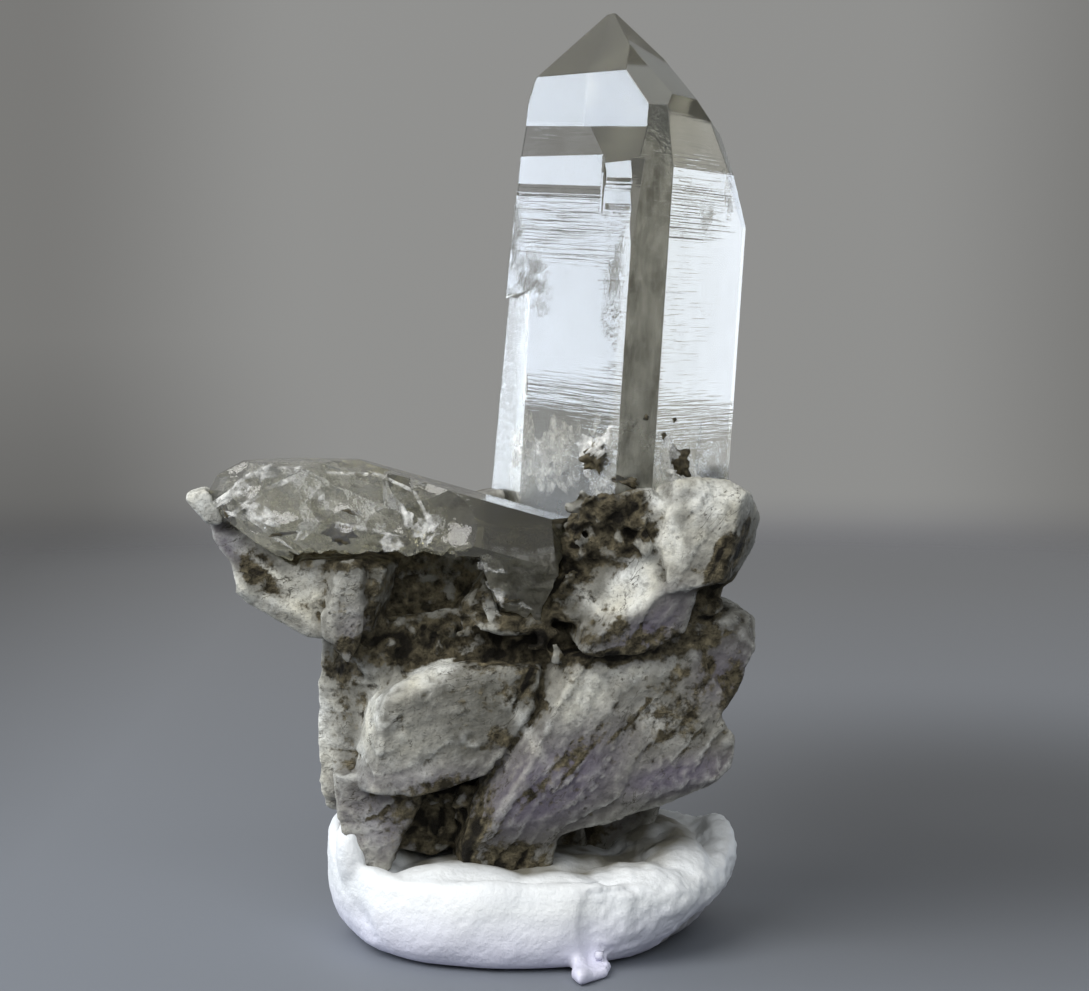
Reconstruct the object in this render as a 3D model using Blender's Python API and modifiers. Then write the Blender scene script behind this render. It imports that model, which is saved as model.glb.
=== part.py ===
"""Quartz on feldspar specimen, standing in a lump of white mounting putty.

One tall colourless quartz prism leans a little to the right out of a rough
feldspar matrix, a shorter quartz crystal lies across its front left, and the
whole piece is pressed into a shallow ring of soft white putty.

Metres, +Z up, the front of the specimen faces -Y. The origin is the centre of
the putty's flat underside.
"""
import math

import bmesh
import bpy
from mathutils import Matrix, Vector, noise

MM = 0.001
UP = Vector((0.0, 0.0, 1.0))
FRONT = Vector((0.0, -1.0, 0.0))

# Clearance between neighbouring solids
GAP = 0.3 * MM

# Tall quartz crystal, compass angles in degrees from the front, left is positive
MAIN_CENTRE = Vector((6.9, 0.0, 38.3)) * MM
MAIN_LEAN = math.radians(3.6)
MAIN_APEX = Vector((-2.6, 2.6, 42.5)) * MM
MAIN_BLUNTING = 0.35 * MM
MAIN_FOOT = -5.6 * MM
# Prism faces: angle, slope from the axis, distance from the axis in mm
MAIN_PRISM = (
    (54, 0, 5.29), (-6, 0, 8.95), (-65, 0, 6.48), (-126, 0, 13.0), (174, 0, 10.69), (114, 3, 12.50))
# Pyramid faces that meet at the apex: angle, slope from the axis
MAIN_PYRAMID = ((55.5, 34.8), (-66, 50.2), (-126, 37.0), (174, 38.2), (114, 46.0))
# Small faces on the shoulders: angle, slope, distance and height in mm
MAIN_SHOULDERS = (
    (-6, 46.0, 8.95, 34.0), (-88, 40.7, 9.68, 29.6), (-88, 6.0, 10.55, 25.5), (87, 13.0, 9.64, 32.0))
# Wedges cut from the faces: angle, slope, distance, height, and 1 for the inner or -1 for the outer side
MAIN_CUTS = {
    "top_growth_step": ((54, 0, 4.67, 29.4, -1), (54, 9, 5.10, 29.4, -1)),
    "left_ledge_upper": ((54, 0, 5.10, 26.3, -1), (54, 9.5, 5.17, 26.3, -1), (-90, 0, -2.8, 26, 1)),
    "left_ledge_lower": ((54, 0, 5.17, 25.0, -1), (54, 7, 5.29, 25.0, -1), (-90, 0, -2.8, 24, 1)),
    "right_ledge_upper": ((54, 0, 5.12, 26.6, -1), (54, 6, 5.21, 26.6, -1), (90, 0, 2.6, 26, 1)),
    "right_ledge_lower": ((54, 0, 5.205, 24.0, -1), (54, 4, 5.28, 24.0, -1), (90, 0, 2.6, 24, 1)),
    "edge_bevel": ((36, 3.7, 6.80, 29.4, -1), (0, 90, 0, 29.5, 1)),
    "lower_left_face": ((62, 0, 6.12, 0, -1), (80, 60, 9.0, 17.0, 1)),
}

# Reclining quartz crystal, angles in degrees above the front
SIDE_CENTRE = Vector((-1.0, -7.0, 32.6)) * MM
SIDE_FALL = math.radians(16.0)
SIDE_YAW = math.radians(3.0)
SIDE_PRISM = ((90, 5.5), (30, 5.8), (-30, 4.0), (-90, 4.2), (210, 3.6), (150, 5.0))
# Faces at the pointed left end and at the right end: angle, slope, distance and height in mm
SIDE_ENDS = (
    (90, -43, 0.0, -28.2), (30, -43, 0.0, -28.4), (-30, -30, 0.5, -28.5), (-90, -19, 1.0, -28.5),
    (210, -30, 0.5, -28.5), (150, -41, 0.0, -28.4), (90, -78, 0.0, -27.2),
    (-90, 84, 0.0, 2.5), (60, 58, 4.9, 2.0))
SIDE_CUTS = {
    "worn_top": ((90, -16, 5.5, -15.8, -1),),
    "broken_underside": ((90, -18, 0.0, -7.3, 1), (90, 57, 0.44, -3.6, 1), (-90, -57, 4.23, -18.0, 1)),
    "front_scar": ((16, -5, 5.0, -12.0, -1), (30, 72, 4.9, -8.6, 1)),
    "upper_scar": ((58, 4, 5.0, -18.0, -1), (60, 66, 4.9, -13.0, 1)),
}

# Feldspar slabs, grown into one body. Each has its outline in mm across and up, then the depth of its
# outer and inner face in mm, and its turn about the upright and nod about the crosswise axis in degrees.
FELDSPAR_SLABS = {
    "left_core": (
        ((-17.8, 12), (-18, 21), (-18.2, 29.5), (-15, 34.2), (-5, 35.2), (3, 34.5), (3.5, 20), (0, 13),
         (-6, 9)),
        -5.2, 9.5, 0, 0),
    "pillow": (
        ((-15.3, 14.5), (-13.9, 18), (-13.4, 21.8), (-11, 23.4), (-7.6, 25.2), (-0.6, 25), (-2.6, 18.6),
         (-6, 14.7), (-11, 13.6)),
        -10.6, 1.0, 5, 4),
    "rough_side": (
        ((-18.8, 13), (-19.3, 19), (-18.8, 26.4), (-12, 26.8), (-9.8, 22), (-11.4, 12.6)),
        -7.2, 4.0, -30, 0),
    "left_foot": (
        ((-17.4, 15.5), (-4.2, 15.8), (-5.8, 9.8), (-8.4, 8.6), (-10.6, 10.4), (-12.8, 5.6), (-16.2, 5.6)),
        -8.6, 3.0, -4, 6),
    "arm": (
        ((-27.4, 36.2), (-25.6, 33.4), (-24.8, 30.6), (-22.6, 29.2), (-14, 26.6), (-12, 33.5), (-18, 35.5)),
        -9.0, -1.5, -10, 0),
    "arm_knob": (
        ((-29.2, 38.6), (-28.4, 40.0), (-26.6, 39.8), (-25.4, 35.2), (-27.8, 35.4)),
        -10.2, -5.6, 0, 0),
    "upright_blade": (
        ((-16.4, 34.0), (-13.8, 34.2), (-14.3, 27.6), (-15.2, 25.9), (-16.6, 27.6)),
        -11.4, -5.0, 8, 0),
    "left_rear_upper": (
        ((-12.5, 23), (-11, 33.5), (-7, 37.6), (-1, 38.6), (4, 37), (4, 24)),
        12.4, 3.0, 14, -6),
    "left_rear_lower": (
        ((-14.6, 8.5), (-16, 15), (-13.5, 25.4), (-3, 27), (4, 24), (4, 10)),
        13.8, 4.0, 4, 5),
    "left_rear_side": (
        ((-17.4, 17), (-17.8, 24), (-15.4, 30.5), (-8, 32), (-8, 15)),
        9.8, 1.0, 24, 0),
    "left_rear_foot": (
        ((-14, 13), (4, 14), (5, 5.8), (-11, 5.8)),
        9.5, 0.0, 0, 0),
    "crest": (
        ((5.6, 34.5), (8.2, 39.8), (13.5, 41.2), (17.2, 41.0), (18.8, 39.2), (18.4, 36.2), (16.4, 32.8),
         (9, 31.5)),
        -9.8, 6.4, -3, -10),
    "front_crust": (
        ((1.2, 32), (2.6, 36.4), (5.0, 38.4), (8.5, 39.8), (11, 40), (11, 32)),
        -10.4, -4.0, -10, -8),
    "upper_slab": (
        ((3.6, 26), (3.4, 28.5), (6.2, 33.0), (9, 34.4), (16.4, 34.8), (16.6, 33.4), (15.6, 29.6), (12.5, 27),
         (9, 25.9)),
        -11.4, 6.0, 16, 9),
    "upper_slab_shoulder": (
        ((4.8, 29), (6.4, 33.2), (8.6, 34.8), (12.5, 34.6), (12.0, 31.0), (8, 30)),
        -11.4, 0.0, -24, -22),
    "crevice_fill": (
        ((-2.4, 22), (-2.6, 31), (1.0, 35.8), (6.0, 38.6), (8.6, 38.8), (8.6, 24)),
        -7.4, 8.0, 0, 0),
    "middle_slab": (
        ((9.0, 22), (9.6, 25.6), (13.8, 28.3), (17.6, 29.1), (19.8, 28.6), (19.4, 26.8), (17.0, 21.8),
         (15.4, 19.6)),
        -8.6, 7.0, 12, 0),
    "lower_slab_face": (
        ((-3.8, 12), (0.7, 22.6), (2.6, 25.4), (9.2, 26.6), (14.4, 26.4), (17.0, 22.6), (15.8, 20.8),
         (17.6, 18.4), (17.2, 15.6), (10, 14), (3, 12)),
        -9.8, 7.0, 6, -6),
    "lower_slab_foot": (
        ((-5.3, 5.4), (-4.9, 10.2), (-3.5, 13.5), (2.0, 19.8), (6, 19.5), (10, 16.8), (16.8, 15.8),
         (15.6, 13.6), (9, 11.2), (2.2, 9.1), (1.4, 5.4)),
        -9.6, 5.4, 12, 8),
    "right_rear_crest": (
        ((3.0, 29), (1.0, 37.0), (8.6, 41.0), (15.6, 40.4), (17.4, 35), (15, 29)),
        13.6, 5.0, 8, 3),
    "right_rear_slab": (
        ((0.5, 12), (-1.0, 23), (2.5, 31.6), (14, 32.5), (17, 27), (15.4, 17), (10.5, 10)),
        12.6, 3.0, -10, -5),
    "right_rear_foot": (
        ((1, 12), (13, 14), (9, 5.8), (3, 5.8)),
        9.0, 1.0, 0, 0),
}
# The crevice between the left block and the right slabs leans: its x at the foot, and its run per rise
CREVICE_FOOT = -8.8 * MM
CREVICE_SLANT = 0.33
LEFT_GRAIN = Vector((0.97, 0.0, 0.24)).normalized()
RIGHT_GRAIN = Vector((0.62, 0.0, 0.78)).normalized()
ROCK_CHAMFER = 0.7 * MM
ROCK_VOXEL = 0.56 * MM
ROCK_TRIANGLES = 5000
SEAT_SWELL = 0.5 * MM
SEAT_VOXEL = 0.5 * MM
SEAT_TRIANGLES = 3600

# Putty ring: share of the plan size, height in mm and how far the height follows the rim
PUTTY_SEGMENTS = 28
PUTTY_CENTRE = Vector((0.4, -0.8, 0.0)) * MM
PUTTY_HALF_WIDTH = 18.6 * MM
PUTTY_HALF_DEPTH = 16.2 * MM
PUTTY_RINGS = (
    (0.90, 0.0, 0.0), (0.99, 1.2, 0.0), (1.0, 3.6, 0.2), (0.96, 6.7, 0.9), (0.88, 7.6, 1.0), (0.79, 6.8, 0.8),
    (0.70, 5.0, 0.2))
# Small tongue squeezed out at the front: plan outline in mm and height
TONGUE = ((3.4, -14.0), (3.2, -17.2), (3.9, -19.6), (5.0, -18.3), (6.4, -16.8), (6.8, -14.0))
TONGUE_HEIGHT = 1.2 * MM


def clear_scene():
    for obj in list(bpy.data.objects):
        bpy.data.objects.remove(obj, do_unlink=True)


def new_collection(name):
    collection = bpy.data.collections.new(name)
    bpy.context.scene.collection.children.link(collection)
    return collection


def new_material(name, colour, roughness, transmission=0.0):
    material = bpy.data.materials.new(name)
    material.use_nodes = True
    shader = material.node_tree.nodes["Principled BSDF"]
    shader.inputs["Base Color"].default_value = (*colour, 1.0)
    shader.inputs["Roughness"].default_value = roughness
    shader.inputs["Metallic"].default_value = 0.0
    shader.inputs["Transmission Weight"].default_value = transmission
    shader.inputs["IOR"].default_value = 1.544
    return material


def new_object(name, bm, collection):
    bmesh.ops.recalc_face_normals(bm, faces=bm.faces)
    mesh = bpy.data.meshes.new(name)
    bm.to_mesh(mesh)
    bm.free()
    obj = bpy.data.objects.new(name, mesh)
    collection.objects.link(obj)
    return obj


def new_cutter(name, bm, collection):
    obj = new_object(name, bm, collection)
    obj.hide_render = True
    obj.display_type = "WIRE"
    return obj


def evaluated_bmesh(obj):
    bpy.context.view_layer.update()
    graph = bpy.context.evaluated_depsgraph_get()
    mesh = bpy.data.meshes.new_from_object(obj.evaluated_get(graph), depsgraph=graph)
    bm = bmesh.new()
    bm.from_mesh(mesh)
    bm.transform(obj.matrix_world)
    bpy.data.meshes.remove(mesh)
    return bm


def add_boolean(obj, other, operation):
    modifier = obj.modifiers.new(other.name, "BOOLEAN")
    modifier.operation = operation
    modifier.solver = "EXACT"
    modifier.object = other


def convex_bmesh(half_size, centre, planes):
    """A block trimmed by planes, each an outward normal and a point on the plane."""
    bm = bmesh.new()
    bmesh.ops.create_cube(bm, size=2.0 * half_size, matrix=Matrix.Translation(centre))
    for normal, point in planes:
        geometry = bm.verts[:] + bm.edges[:] + bm.faces[:]
        cut = bmesh.ops.bisect_plane(
            bm, geom=geometry, dist=1e-8, plane_co=point, plane_no=normal, clear_outer=True)
        rim = [item for item in cut["geom_cut"] if isinstance(item, bmesh.types.BMEdge)]
        if rim:
            bmesh.ops.edgeloop_fill(bm, edges=rim)
    return bm


class CrystalFrame:
    """Turns face angles and distances into planes around a crystal's long axis."""

    def __init__(self, centre, axis, front):
        self.centre = centre
        self.axis = axis.normalized()
        self.front = (front - front.dot(self.axis) * self.axis).normalized()
        self.side = self.front.cross(self.axis)

    def outward(self, angle):
        turn = math.radians(angle)
        return math.cos(turn) * self.front + math.sin(turn) * self.side

    def plane(self, angle, slope, distance, height, grow=0.0):
        tilt = math.radians(slope)
        normal = math.cos(tilt) * self.outward(angle) + math.sin(tilt) * self.axis
        point = self.centre + distance * self.outward(angle) + height * self.axis
        return normal, point + grow * normal

    def wedge(self, faces):
        planes = []
        for angle, slope, distance, height, sign in faces:
            normal, point = self.plane(angle, slope, distance * MM, height * MM)
            planes.append((sign * normal, point))
        return convex_bmesh(70 * MM, self.centre, planes)


def main_frame():
    axis = Vector((math.sin(MAIN_LEAN), 0.0, math.cos(MAIN_LEAN)))
    return CrystalFrame(MAIN_CENTRE, axis, FRONT)


def main_bmesh(grow=0.0):
    frame = main_frame()
    apex = -MAIN_APEX.x * frame.side - MAIN_APEX.y * frame.front
    planes = [frame.plane(angle, slope, distance * MM, 0.0, grow) for angle, slope, distance in MAIN_PRISM]
    for angle, slope in MAIN_PYRAMID:
        planes.append(frame.plane(angle, slope, apex.dot(frame.outward(angle)), MAIN_APEX.z, grow))
    for angle, slope, distance, height in MAIN_SHOULDERS:
        planes.append(frame.plane(angle, slope, distance * MM, height * MM, grow))
    tip = frame.centre + apex + (MAIN_APEX.z - MAIN_BLUNTING + grow) * frame.axis
    planes.append(((frame.axis + 0.2 * frame.side).normalized(), tip))
    planes.append((-frame.axis, frame.centre + (MAIN_FOOT - grow) * frame.axis))
    return convex_bmesh(60 * MM, MAIN_CENTRE, planes)


def side_frame():
    level = Vector((math.cos(SIDE_YAW), math.sin(SIDE_YAW), 0.0))
    axis = math.cos(SIDE_FALL) * level - math.sin(SIDE_FALL) * UP
    return CrystalFrame(SIDE_CENTRE, axis, FRONT)


def side_bmesh(grow=0.0):
    frame = side_frame()
    planes = [frame.plane(angle, 0.0, distance * MM, 0.0, grow) for angle, distance in SIDE_PRISM]
    for angle, slope, distance, height in SIDE_ENDS:
        planes.append(frame.plane(angle, slope, distance * MM, height * MM, grow))
    angle, slope, distance = MAIN_PRISM[0]
    normal, point = main_frame().plane(angle, slope, distance * MM, 0.0, GAP - grow)
    planes.append((-normal, point))
    return convex_bmesh(60 * MM, SIDE_CENTRE, planes)


def build_crystal(name, bm, frame, cuts, material, parts, cutters):
    crystal = new_object(name, bm, parts)
    for cut_name, faces in cuts.items():
        add_boolean(crystal, new_cutter(cut_name, frame.wedge(faces), cutters), "DIFFERENCE")
    crystal.data.materials.append(material)
    return crystal


def outline_bmesh(name, outline, depth, chamfer, collection):
    """A flat outline in mm given thickness, with chamfered edges, centred on its own middle."""
    middle = Vector((sum(x for x, y in outline), sum(y for x, y in outline))) / len(outline)
    curve = bpy.data.curves.new(name, "CURVE")
    curve.dimensions = "2D"
    curve.fill_mode = "BOTH"
    curve.extrude = 0.5 * depth
    spline = curve.splines.new("POLY")
    spline.points.add(len(outline) - 1)
    spline.use_cyclic_u = True
    for point, (x, y) in zip(spline.points, outline):
        point.co = ((x - middle.x) * MM, (y - middle.y) * MM, 0.0, 1.0)
    drawn = bpy.data.objects.new(name, curve)
    collection.objects.link(drawn)
    bm = evaluated_bmesh(drawn)
    bpy.data.objects.remove(drawn, do_unlink=True)
    bmesh.ops.remove_doubles(bm, verts=bm.verts, dist=1e-6)
    bmesh.ops.dissolve_limit(bm, angle_limit=0.01, verts=bm.verts, edges=bm.edges)
    bmesh.ops.bevel(
        bm, geom=bm.edges[:], offset=chamfer, segments=1, profile=0.5, affect="EDGES", clamp_overlap=True)
    return bm, middle * MM


def slab_object(name, outline, outer, inner, turn, nod, collection):
    """One feldspar slab, its outline drawn on its outer face, turned and nodded about that face."""
    bm, middle = outline_bmesh(name, outline, abs(inner - outer) * MM, ROCK_CHAMFER, collection)
    upright = Matrix.Rotation(math.radians(90), 4, "X")
    turned = Matrix.Rotation(math.radians(turn), 4, "Z") @ Matrix.Rotation(math.radians(nod), 4, "X")
    to_middle = Matrix.Translation(Vector((0.0, 0.5 * (inner - outer), 0.0)) * MM)
    to_outer_face = Matrix.Translation(Vector((middle.x, outer * MM, middle.y)))
    bm.transform(to_outer_face @ turned @ to_middle @ upright)
    return new_cutter(name, bm, collection)


def rock_relief(position):
    """Height of the rough surface: broad lumps, small lumps and streaks along the cleavage."""
    grain = RIGHT_GRAIN if position.x > CREVICE_FOOT + CREVICE_SLANT * position.z else LEFT_GRAIN
    lumps = noise.noise(position / (3.4 * MM))
    pits = noise.noise(position / (1.5 * MM) + Vector((7.0, 3.0, 1.0)))
    along = position.dot(grain) * grain
    streaks = noise.noise((position - along) / (1.7 * MM) + along / (9.0 * MM))
    return (0.24 * lumps + 0.12 * pits + 0.24 * streaks) * MM


def rock_object(name, slabs, material, parts, cutters):
    """Slabs grown into one body, given a rough surface and thinned to a light mesh."""
    solids = [slab_object(slab, *values, cutters) for slab, values in slabs.items()]
    for other in solids[1:]:
        add_boolean(solids[0], other, "UNION")
    body = new_object(name, evaluated_bmesh(solids[0]), parts)
    solids[0].modifiers.clear()
    remesh = body.modifiers.new("even_surface", "REMESH")
    remesh.mode = "VOXEL"
    remesh.voxel_size = ROCK_VOXEL
    bm = evaluated_bmesh(body)
    bpy.data.objects.remove(body, do_unlink=True)
    bm.normal_update()
    moves = [rock_relief(vert.co) * vert.normal for vert in bm.verts]
    for vert, move in zip(bm.verts, moves):
        vert.co += move
    rock = new_object(name, thinned(bm, ROCK_TRIANGLES, parts), parts)
    rock.data.materials.append(material)
    return rock


def thinned(bm, triangles, collection):
    """The same closed surface with about the given number of triangles."""
    thick = new_object("thick", bm, collection)
    count = sum(len(face.vertices) - 2 for face in thick.data.polygons)
    thin = thick.modifiers.new("thin", "DECIMATE")
    thin.ratio = min(1.0, triangles / count)
    bm = evaluated_bmesh(thick)
    bpy.data.objects.remove(thick, do_unlink=True)
    return bm


def seat_cutter(obj, cutters):
    """A copy of a finished body, swollen evenly, for cutting its seat in a neighbour."""
    copy = new_object("swollen", evaluated_bmesh(obj), cutters)
    swell = copy.modifiers.new("swell", "DISPLACE")
    swell.strength = SEAT_SWELL
    swell.mid_level = 0.0
    remesh = copy.modifiers.new("even_surface", "REMESH")
    remesh.mode = "VOXEL"
    remesh.voxel_size = SEAT_VOXEL
    bm = evaluated_bmesh(copy)
    bpy.data.objects.remove(copy, do_unlink=True)
    return new_cutter(f"{obj.name}_seat", thinned(bm, SEAT_TRIANGLES, cutters), cutters)


def largest_body(bm):
    """Drops the loose crumbs that a cut leaves beside the main body."""
    left = set(bm.verts)
    bodies = []
    for start in bm.verts:
        if start not in left:
            continue
        left.remove(start)
        front = [start]
        body = list(front)
        while front:
            vert = front.pop()
            near = {edge.other_vert(vert) for edge in vert.link_edges}
            fresh = near & left
            left -= fresh
            front.extend(fresh)
            body.extend(fresh)
        bodies.append(body)
    bodies.sort(key=len)
    for crumb in bodies[:-1]:
        bmesh.ops.delete(bm, geom=crumb, context="VERTS")
    return bm


def seat_in(obj, seats, collection):
    """Cuts the neighbours' seats from a body and keeps what hangs together."""
    for seat in seats:
        add_boolean(obj, seat, "DIFFERENCE")
    bm = largest_body(evaluated_bmesh(obj))
    name = obj.name
    material = obj.data.materials[0]
    bpy.data.objects.remove(obj, do_unlink=True)
    cut = new_object(name, bm, collection)
    cut.data.materials.append(material)
    return cut


def toward(angle, degrees, sharpness):
    """One in the given compass direction from +X, falling to zero at its sides."""
    return max(0.0, math.cos(angle - math.radians(degrees))) ** sharpness


def putty_rim(angle):
    """How far the rim stands above its usual height, in mm."""
    left = 3.6 * toward(angle, 176, 8)
    back = 1.8 * toward(angle, 70, 1)
    ear = 2.0 * toward(angle, 12, 60)
    return left + back + ear + 0.35 * math.sin(3 * angle + 0.6)


def putty_reach(angle, height):
    """Uneven plan outline of the pressed lump, leaning out at the left and tucked in under the right."""
    lean = 0.15 * toward(angle, 180, 2) * (height / 8.0 - 0.55)
    tuck = 0.26 * toward(angle, -16, 2) * max(0.0, 1.0 - height / 5.5)
    return 1.0 + 0.018 * math.sin(2 * angle + 0.9) + 0.014 * math.sin(5 * angle) + lean - tuck


def putty_ring(face, share, height, follow):
    for vert in face.verts:
        angle = math.atan2(vert.co.y / PUTTY_HALF_DEPTH, vert.co.x / PUTTY_HALF_WIDTH)
        reach = share * putty_reach(angle, height)
        lift = 2.0 * toward(angle, -10, 3) * max(0.0, 1.0 - height / 5.0) * (height > 0.0)
        vert.co.x = PUTTY_HALF_WIDTH * reach * math.cos(angle)
        vert.co.y = PUTTY_HALF_DEPTH * reach * math.sin(angle)
        vert.co.z = (height + lift + follow * putty_rim(angle)) * MM


def build_putty(name, material, parts, cutters):
    """A cage grown ring by ring from the flat underside to the hollow top, then softened."""
    bm = bmesh.new()
    bmesh.ops.create_circle(bm, cap_ends=True, segments=PUTTY_SEGMENTS, radius=0.8 * PUTTY_HALF_DEPTH)
    bm.faces.ensure_lookup_table()
    base = bm.faces[0]
    putty_ring(base, 0.76, 0.0, 0.0)
    top = base
    for share, height, follow in PUTTY_RINGS:
        grown = bmesh.ops.extrude_face_region(bm, geom=[top])
        if top is not base:
            bmesh.ops.delete(bm, geom=[top], context="FACES_ONLY")
        top = [item for item in grown["geom"] if isinstance(item, bmesh.types.BMFace)][0]
        putty_ring(top, share, height, follow)
    bmesh.ops.translate(bm, verts=bm.verts, vec=PUTTY_CENTRE)
    putty = new_object(name, bm, parts)
    soften = putty.modifiers.new("soften", "SUBSURF")
    soften.levels = 1
    soften.render_levels = 1
    tongue, middle = outline_bmesh("tongue", TONGUE, TONGUE_HEIGHT, 0.25 * MM, cutters)
    bmesh.ops.translate(tongue, verts=tongue.verts, vec=(middle.x, middle.y, 0.5 * TONGUE_HEIGHT))
    add_boolean(putty, new_cutter("tongue", tongue, cutters), "UNION")
    putty.data.materials.append(material)
    return putty


def main():
    clear_scene()
    parts = new_collection("quartz_on_feldspar_specimen")
    cutters = new_collection("cutters")

    clear_quartz = new_material("clear_quartz", (0.94, 0.95, 0.94), 0.03, 1.0)
    smoky_quartz = new_material("smoky_quartz", (0.80, 0.79, 0.72), 0.06, 1.0)
    grey_feldspar = new_material("grey_feldspar", (0.44, 0.43, 0.41), 0.72)
    white_putty = new_material("white_putty", (0.84, 0.85, 0.86), 0.55)

    build_crystal("main_quartz_crystal", main_bmesh(), main_frame(), MAIN_CUTS, clear_quartz, parts, cutters)
    build_crystal("side_quartz_crystal", side_bmesh(), side_frame(), SIDE_CUTS, smoky_quartz, parts, cutters)
    main_seat = new_cutter("main_seat", main_bmesh(GAP), cutters)
    side_seat = new_cutter("side_seat", side_bmesh(GAP), cutters)

    feldspar = rock_object("feldspar_matrix", FELDSPAR_SLABS, grey_feldspar, parts, cutters)
    feldspar = seat_in(feldspar, (main_seat, side_seat), parts)

    putty = build_putty("putty_base", white_putty, parts, cutters)
    seat_in(putty, (seat_cutter(feldspar, cutters),), parts)


main()
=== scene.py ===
import math
import random

import bmesh
import bpy
import numpy as np
from mathutils import Matrix, Vector, noise
from mathutils.bvhtree import BVHTree


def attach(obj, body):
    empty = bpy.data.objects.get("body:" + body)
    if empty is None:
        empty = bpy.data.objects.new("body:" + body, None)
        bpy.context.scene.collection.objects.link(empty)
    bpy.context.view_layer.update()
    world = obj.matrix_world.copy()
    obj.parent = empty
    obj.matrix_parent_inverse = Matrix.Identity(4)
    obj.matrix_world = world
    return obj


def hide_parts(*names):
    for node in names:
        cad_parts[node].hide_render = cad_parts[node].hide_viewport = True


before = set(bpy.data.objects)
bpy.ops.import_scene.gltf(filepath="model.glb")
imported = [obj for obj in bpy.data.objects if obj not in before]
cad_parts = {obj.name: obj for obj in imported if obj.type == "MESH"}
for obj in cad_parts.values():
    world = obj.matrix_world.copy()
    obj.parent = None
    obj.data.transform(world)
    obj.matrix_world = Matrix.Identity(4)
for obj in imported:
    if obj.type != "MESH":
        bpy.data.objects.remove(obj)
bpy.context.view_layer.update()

# Lengths are in millimetres until a piece is finished, and metres for the camera and the lights
MM = 0.001
UP = Vector((0.0, 0.0, 1.0))
FRONT = Vector((0.0, -1.0, 0.0))

# Camera: a long lens a little above the putty, looking slightly down
PHOTO_WIDTH = 1089
FOCAL_PIXELS = 2800.0
SENSOR_WIDTH = 36.0
CAMERA_PLACE = Vector((0.00105, -0.244, 0.060))
CAMERA_PITCH = math.radians(-5.0)

# Tall crystal: its middle, its lean, and the angles of its front faces, left positive
MAIN_CENTRE = Vector((6.9, 0.0, 38.3))
MAIN_LEAN = math.radians(3.6)
MAIN_FACES = {"left": 54, "front": -6, "right": -65}
# Reclining crystal: its middle, and how its long axis falls to the right and turns to the back
SIDE_CENTRE = Vector((-1.0, -7.0, 32.6))
SIDE_FALL = math.radians(16.0)
SIDE_YAW = math.radians(3.0)

# Growth striations: slope of a striation, range of their spacing, width of the small return at the top
STRIATION_SLOPE = math.tan(math.radians(9.0))
STRIATION_RETURN = 0.02
# Faces whose directions are closer than about 3 degrees count as one, by the cosine
SAME_FACE = 0.9985
# Width of the tall crystal's worn edges
CRYSTAL_CHAMFER = 0.05
QUARTZ_IOR = 1.544

# Top of the tall crystal's right face, tilted back above this height along the axis, and how far out it is
RIGHT_TOP_HEIGHT = 28.9
RIGHT_TOP_OUT = 6.48
RIGHT_TOP_TILT = math.radians(8.0)
# Lumps of putty pressed up inside the ring: place and half sizes
PUTTY_LUMPS = (
    (11.0, 3.0, 5.6, 4.6, 8.0, 3.8), (12.6, -4.0, 5.8, 3.4, 6.0, 3.2), (6.0, 6.0, 5.0, 7.0, 6.0, 3.6),
    (-12.0, 2.0, 5.4, 4.0, 8.0, 3.8), (-3.0, 8.0, 4.8, 9.0, 5.0, 3.2), (-1.0, -4.0, 4.6, 13.0, 10.5, 3.5),
    (8.5, -9.5, 5.4, 6.0, 4.0, 2.6), (-6.0, -10.0, 5.6, 7.0, 4.6, 2.7), (-13.4, -6.6, 5.0, 2.6, 3.6, 2.4),
    (-15.4, -6.2, 8.2, 1.6, 2.8, 3.6), (2.0, -11.0, 5.2, 6.0, 3.6, 2.4))
PUTTY_VOXEL = 0.28

# Studio: where the lights point, the soft shade on the floor (middle, reach and colour), and the brightness
# of the surround from its dark side to its bright side
LIGHT_TARGET = Vector((0.008, 0.0, 0.062))
SHADE_PLACE = (0.05, 0.05)
SHADE_REACH = (0.05, 0.0625)
FLOOR_SHADE = (0.03, 0.03, 0.03)
STUDIO_STOPS = ((0.0, 0.09), (0.22, 0.13), (0.33, 0.272), (0.575, 0.29), (0.8, 0.58), (1.0, 0.70))

# Name of the noise mask that the materials share
NOISE_GROUP = "uneven_noise"

# Veils in the tall crystal's foot: place, half sizes, turn about the upright and tilt, ruggedness
FOOT_VEILS = {
    "milky_foot_left": ((-0.6, 3.4, 41.6), (1.7, 0.9, 3.6), (-50, 4), 0.5),
    "milky_foot_middle": ((8.4, -5.4, 40.6), (3.4, 1.6, 1.9), (0, 0), 0.6),
    "milky_foot_right": ((12.6, -2.6, 39.6), (2.6, 1.4, 2.0), (50, 0), 0.6),
}
# Sheets inside the reclining crystal, in the same way
SIDE_SHEETS = {
    "side_middle_sheet": ((-14.8, -10.0, 38.0), (3.2, 0.25, 0.7), (0, 14), 0.6),
    "side_tip_cloud": ((-25.6, -8.6, 39.0), (1.0, 0.6, 1.4), (0, 20), 0.5),
    "side_long_sheet": ((-14.0, -6.8, 38.6), (8.0, 0.2, 1.6), (2, 16), 0.5),
    "side_back_sheet": ((-18.0, -5.6, 38.4), (6.0, 0.2, 2.0), (-4, 10), 0.6),
}
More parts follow.
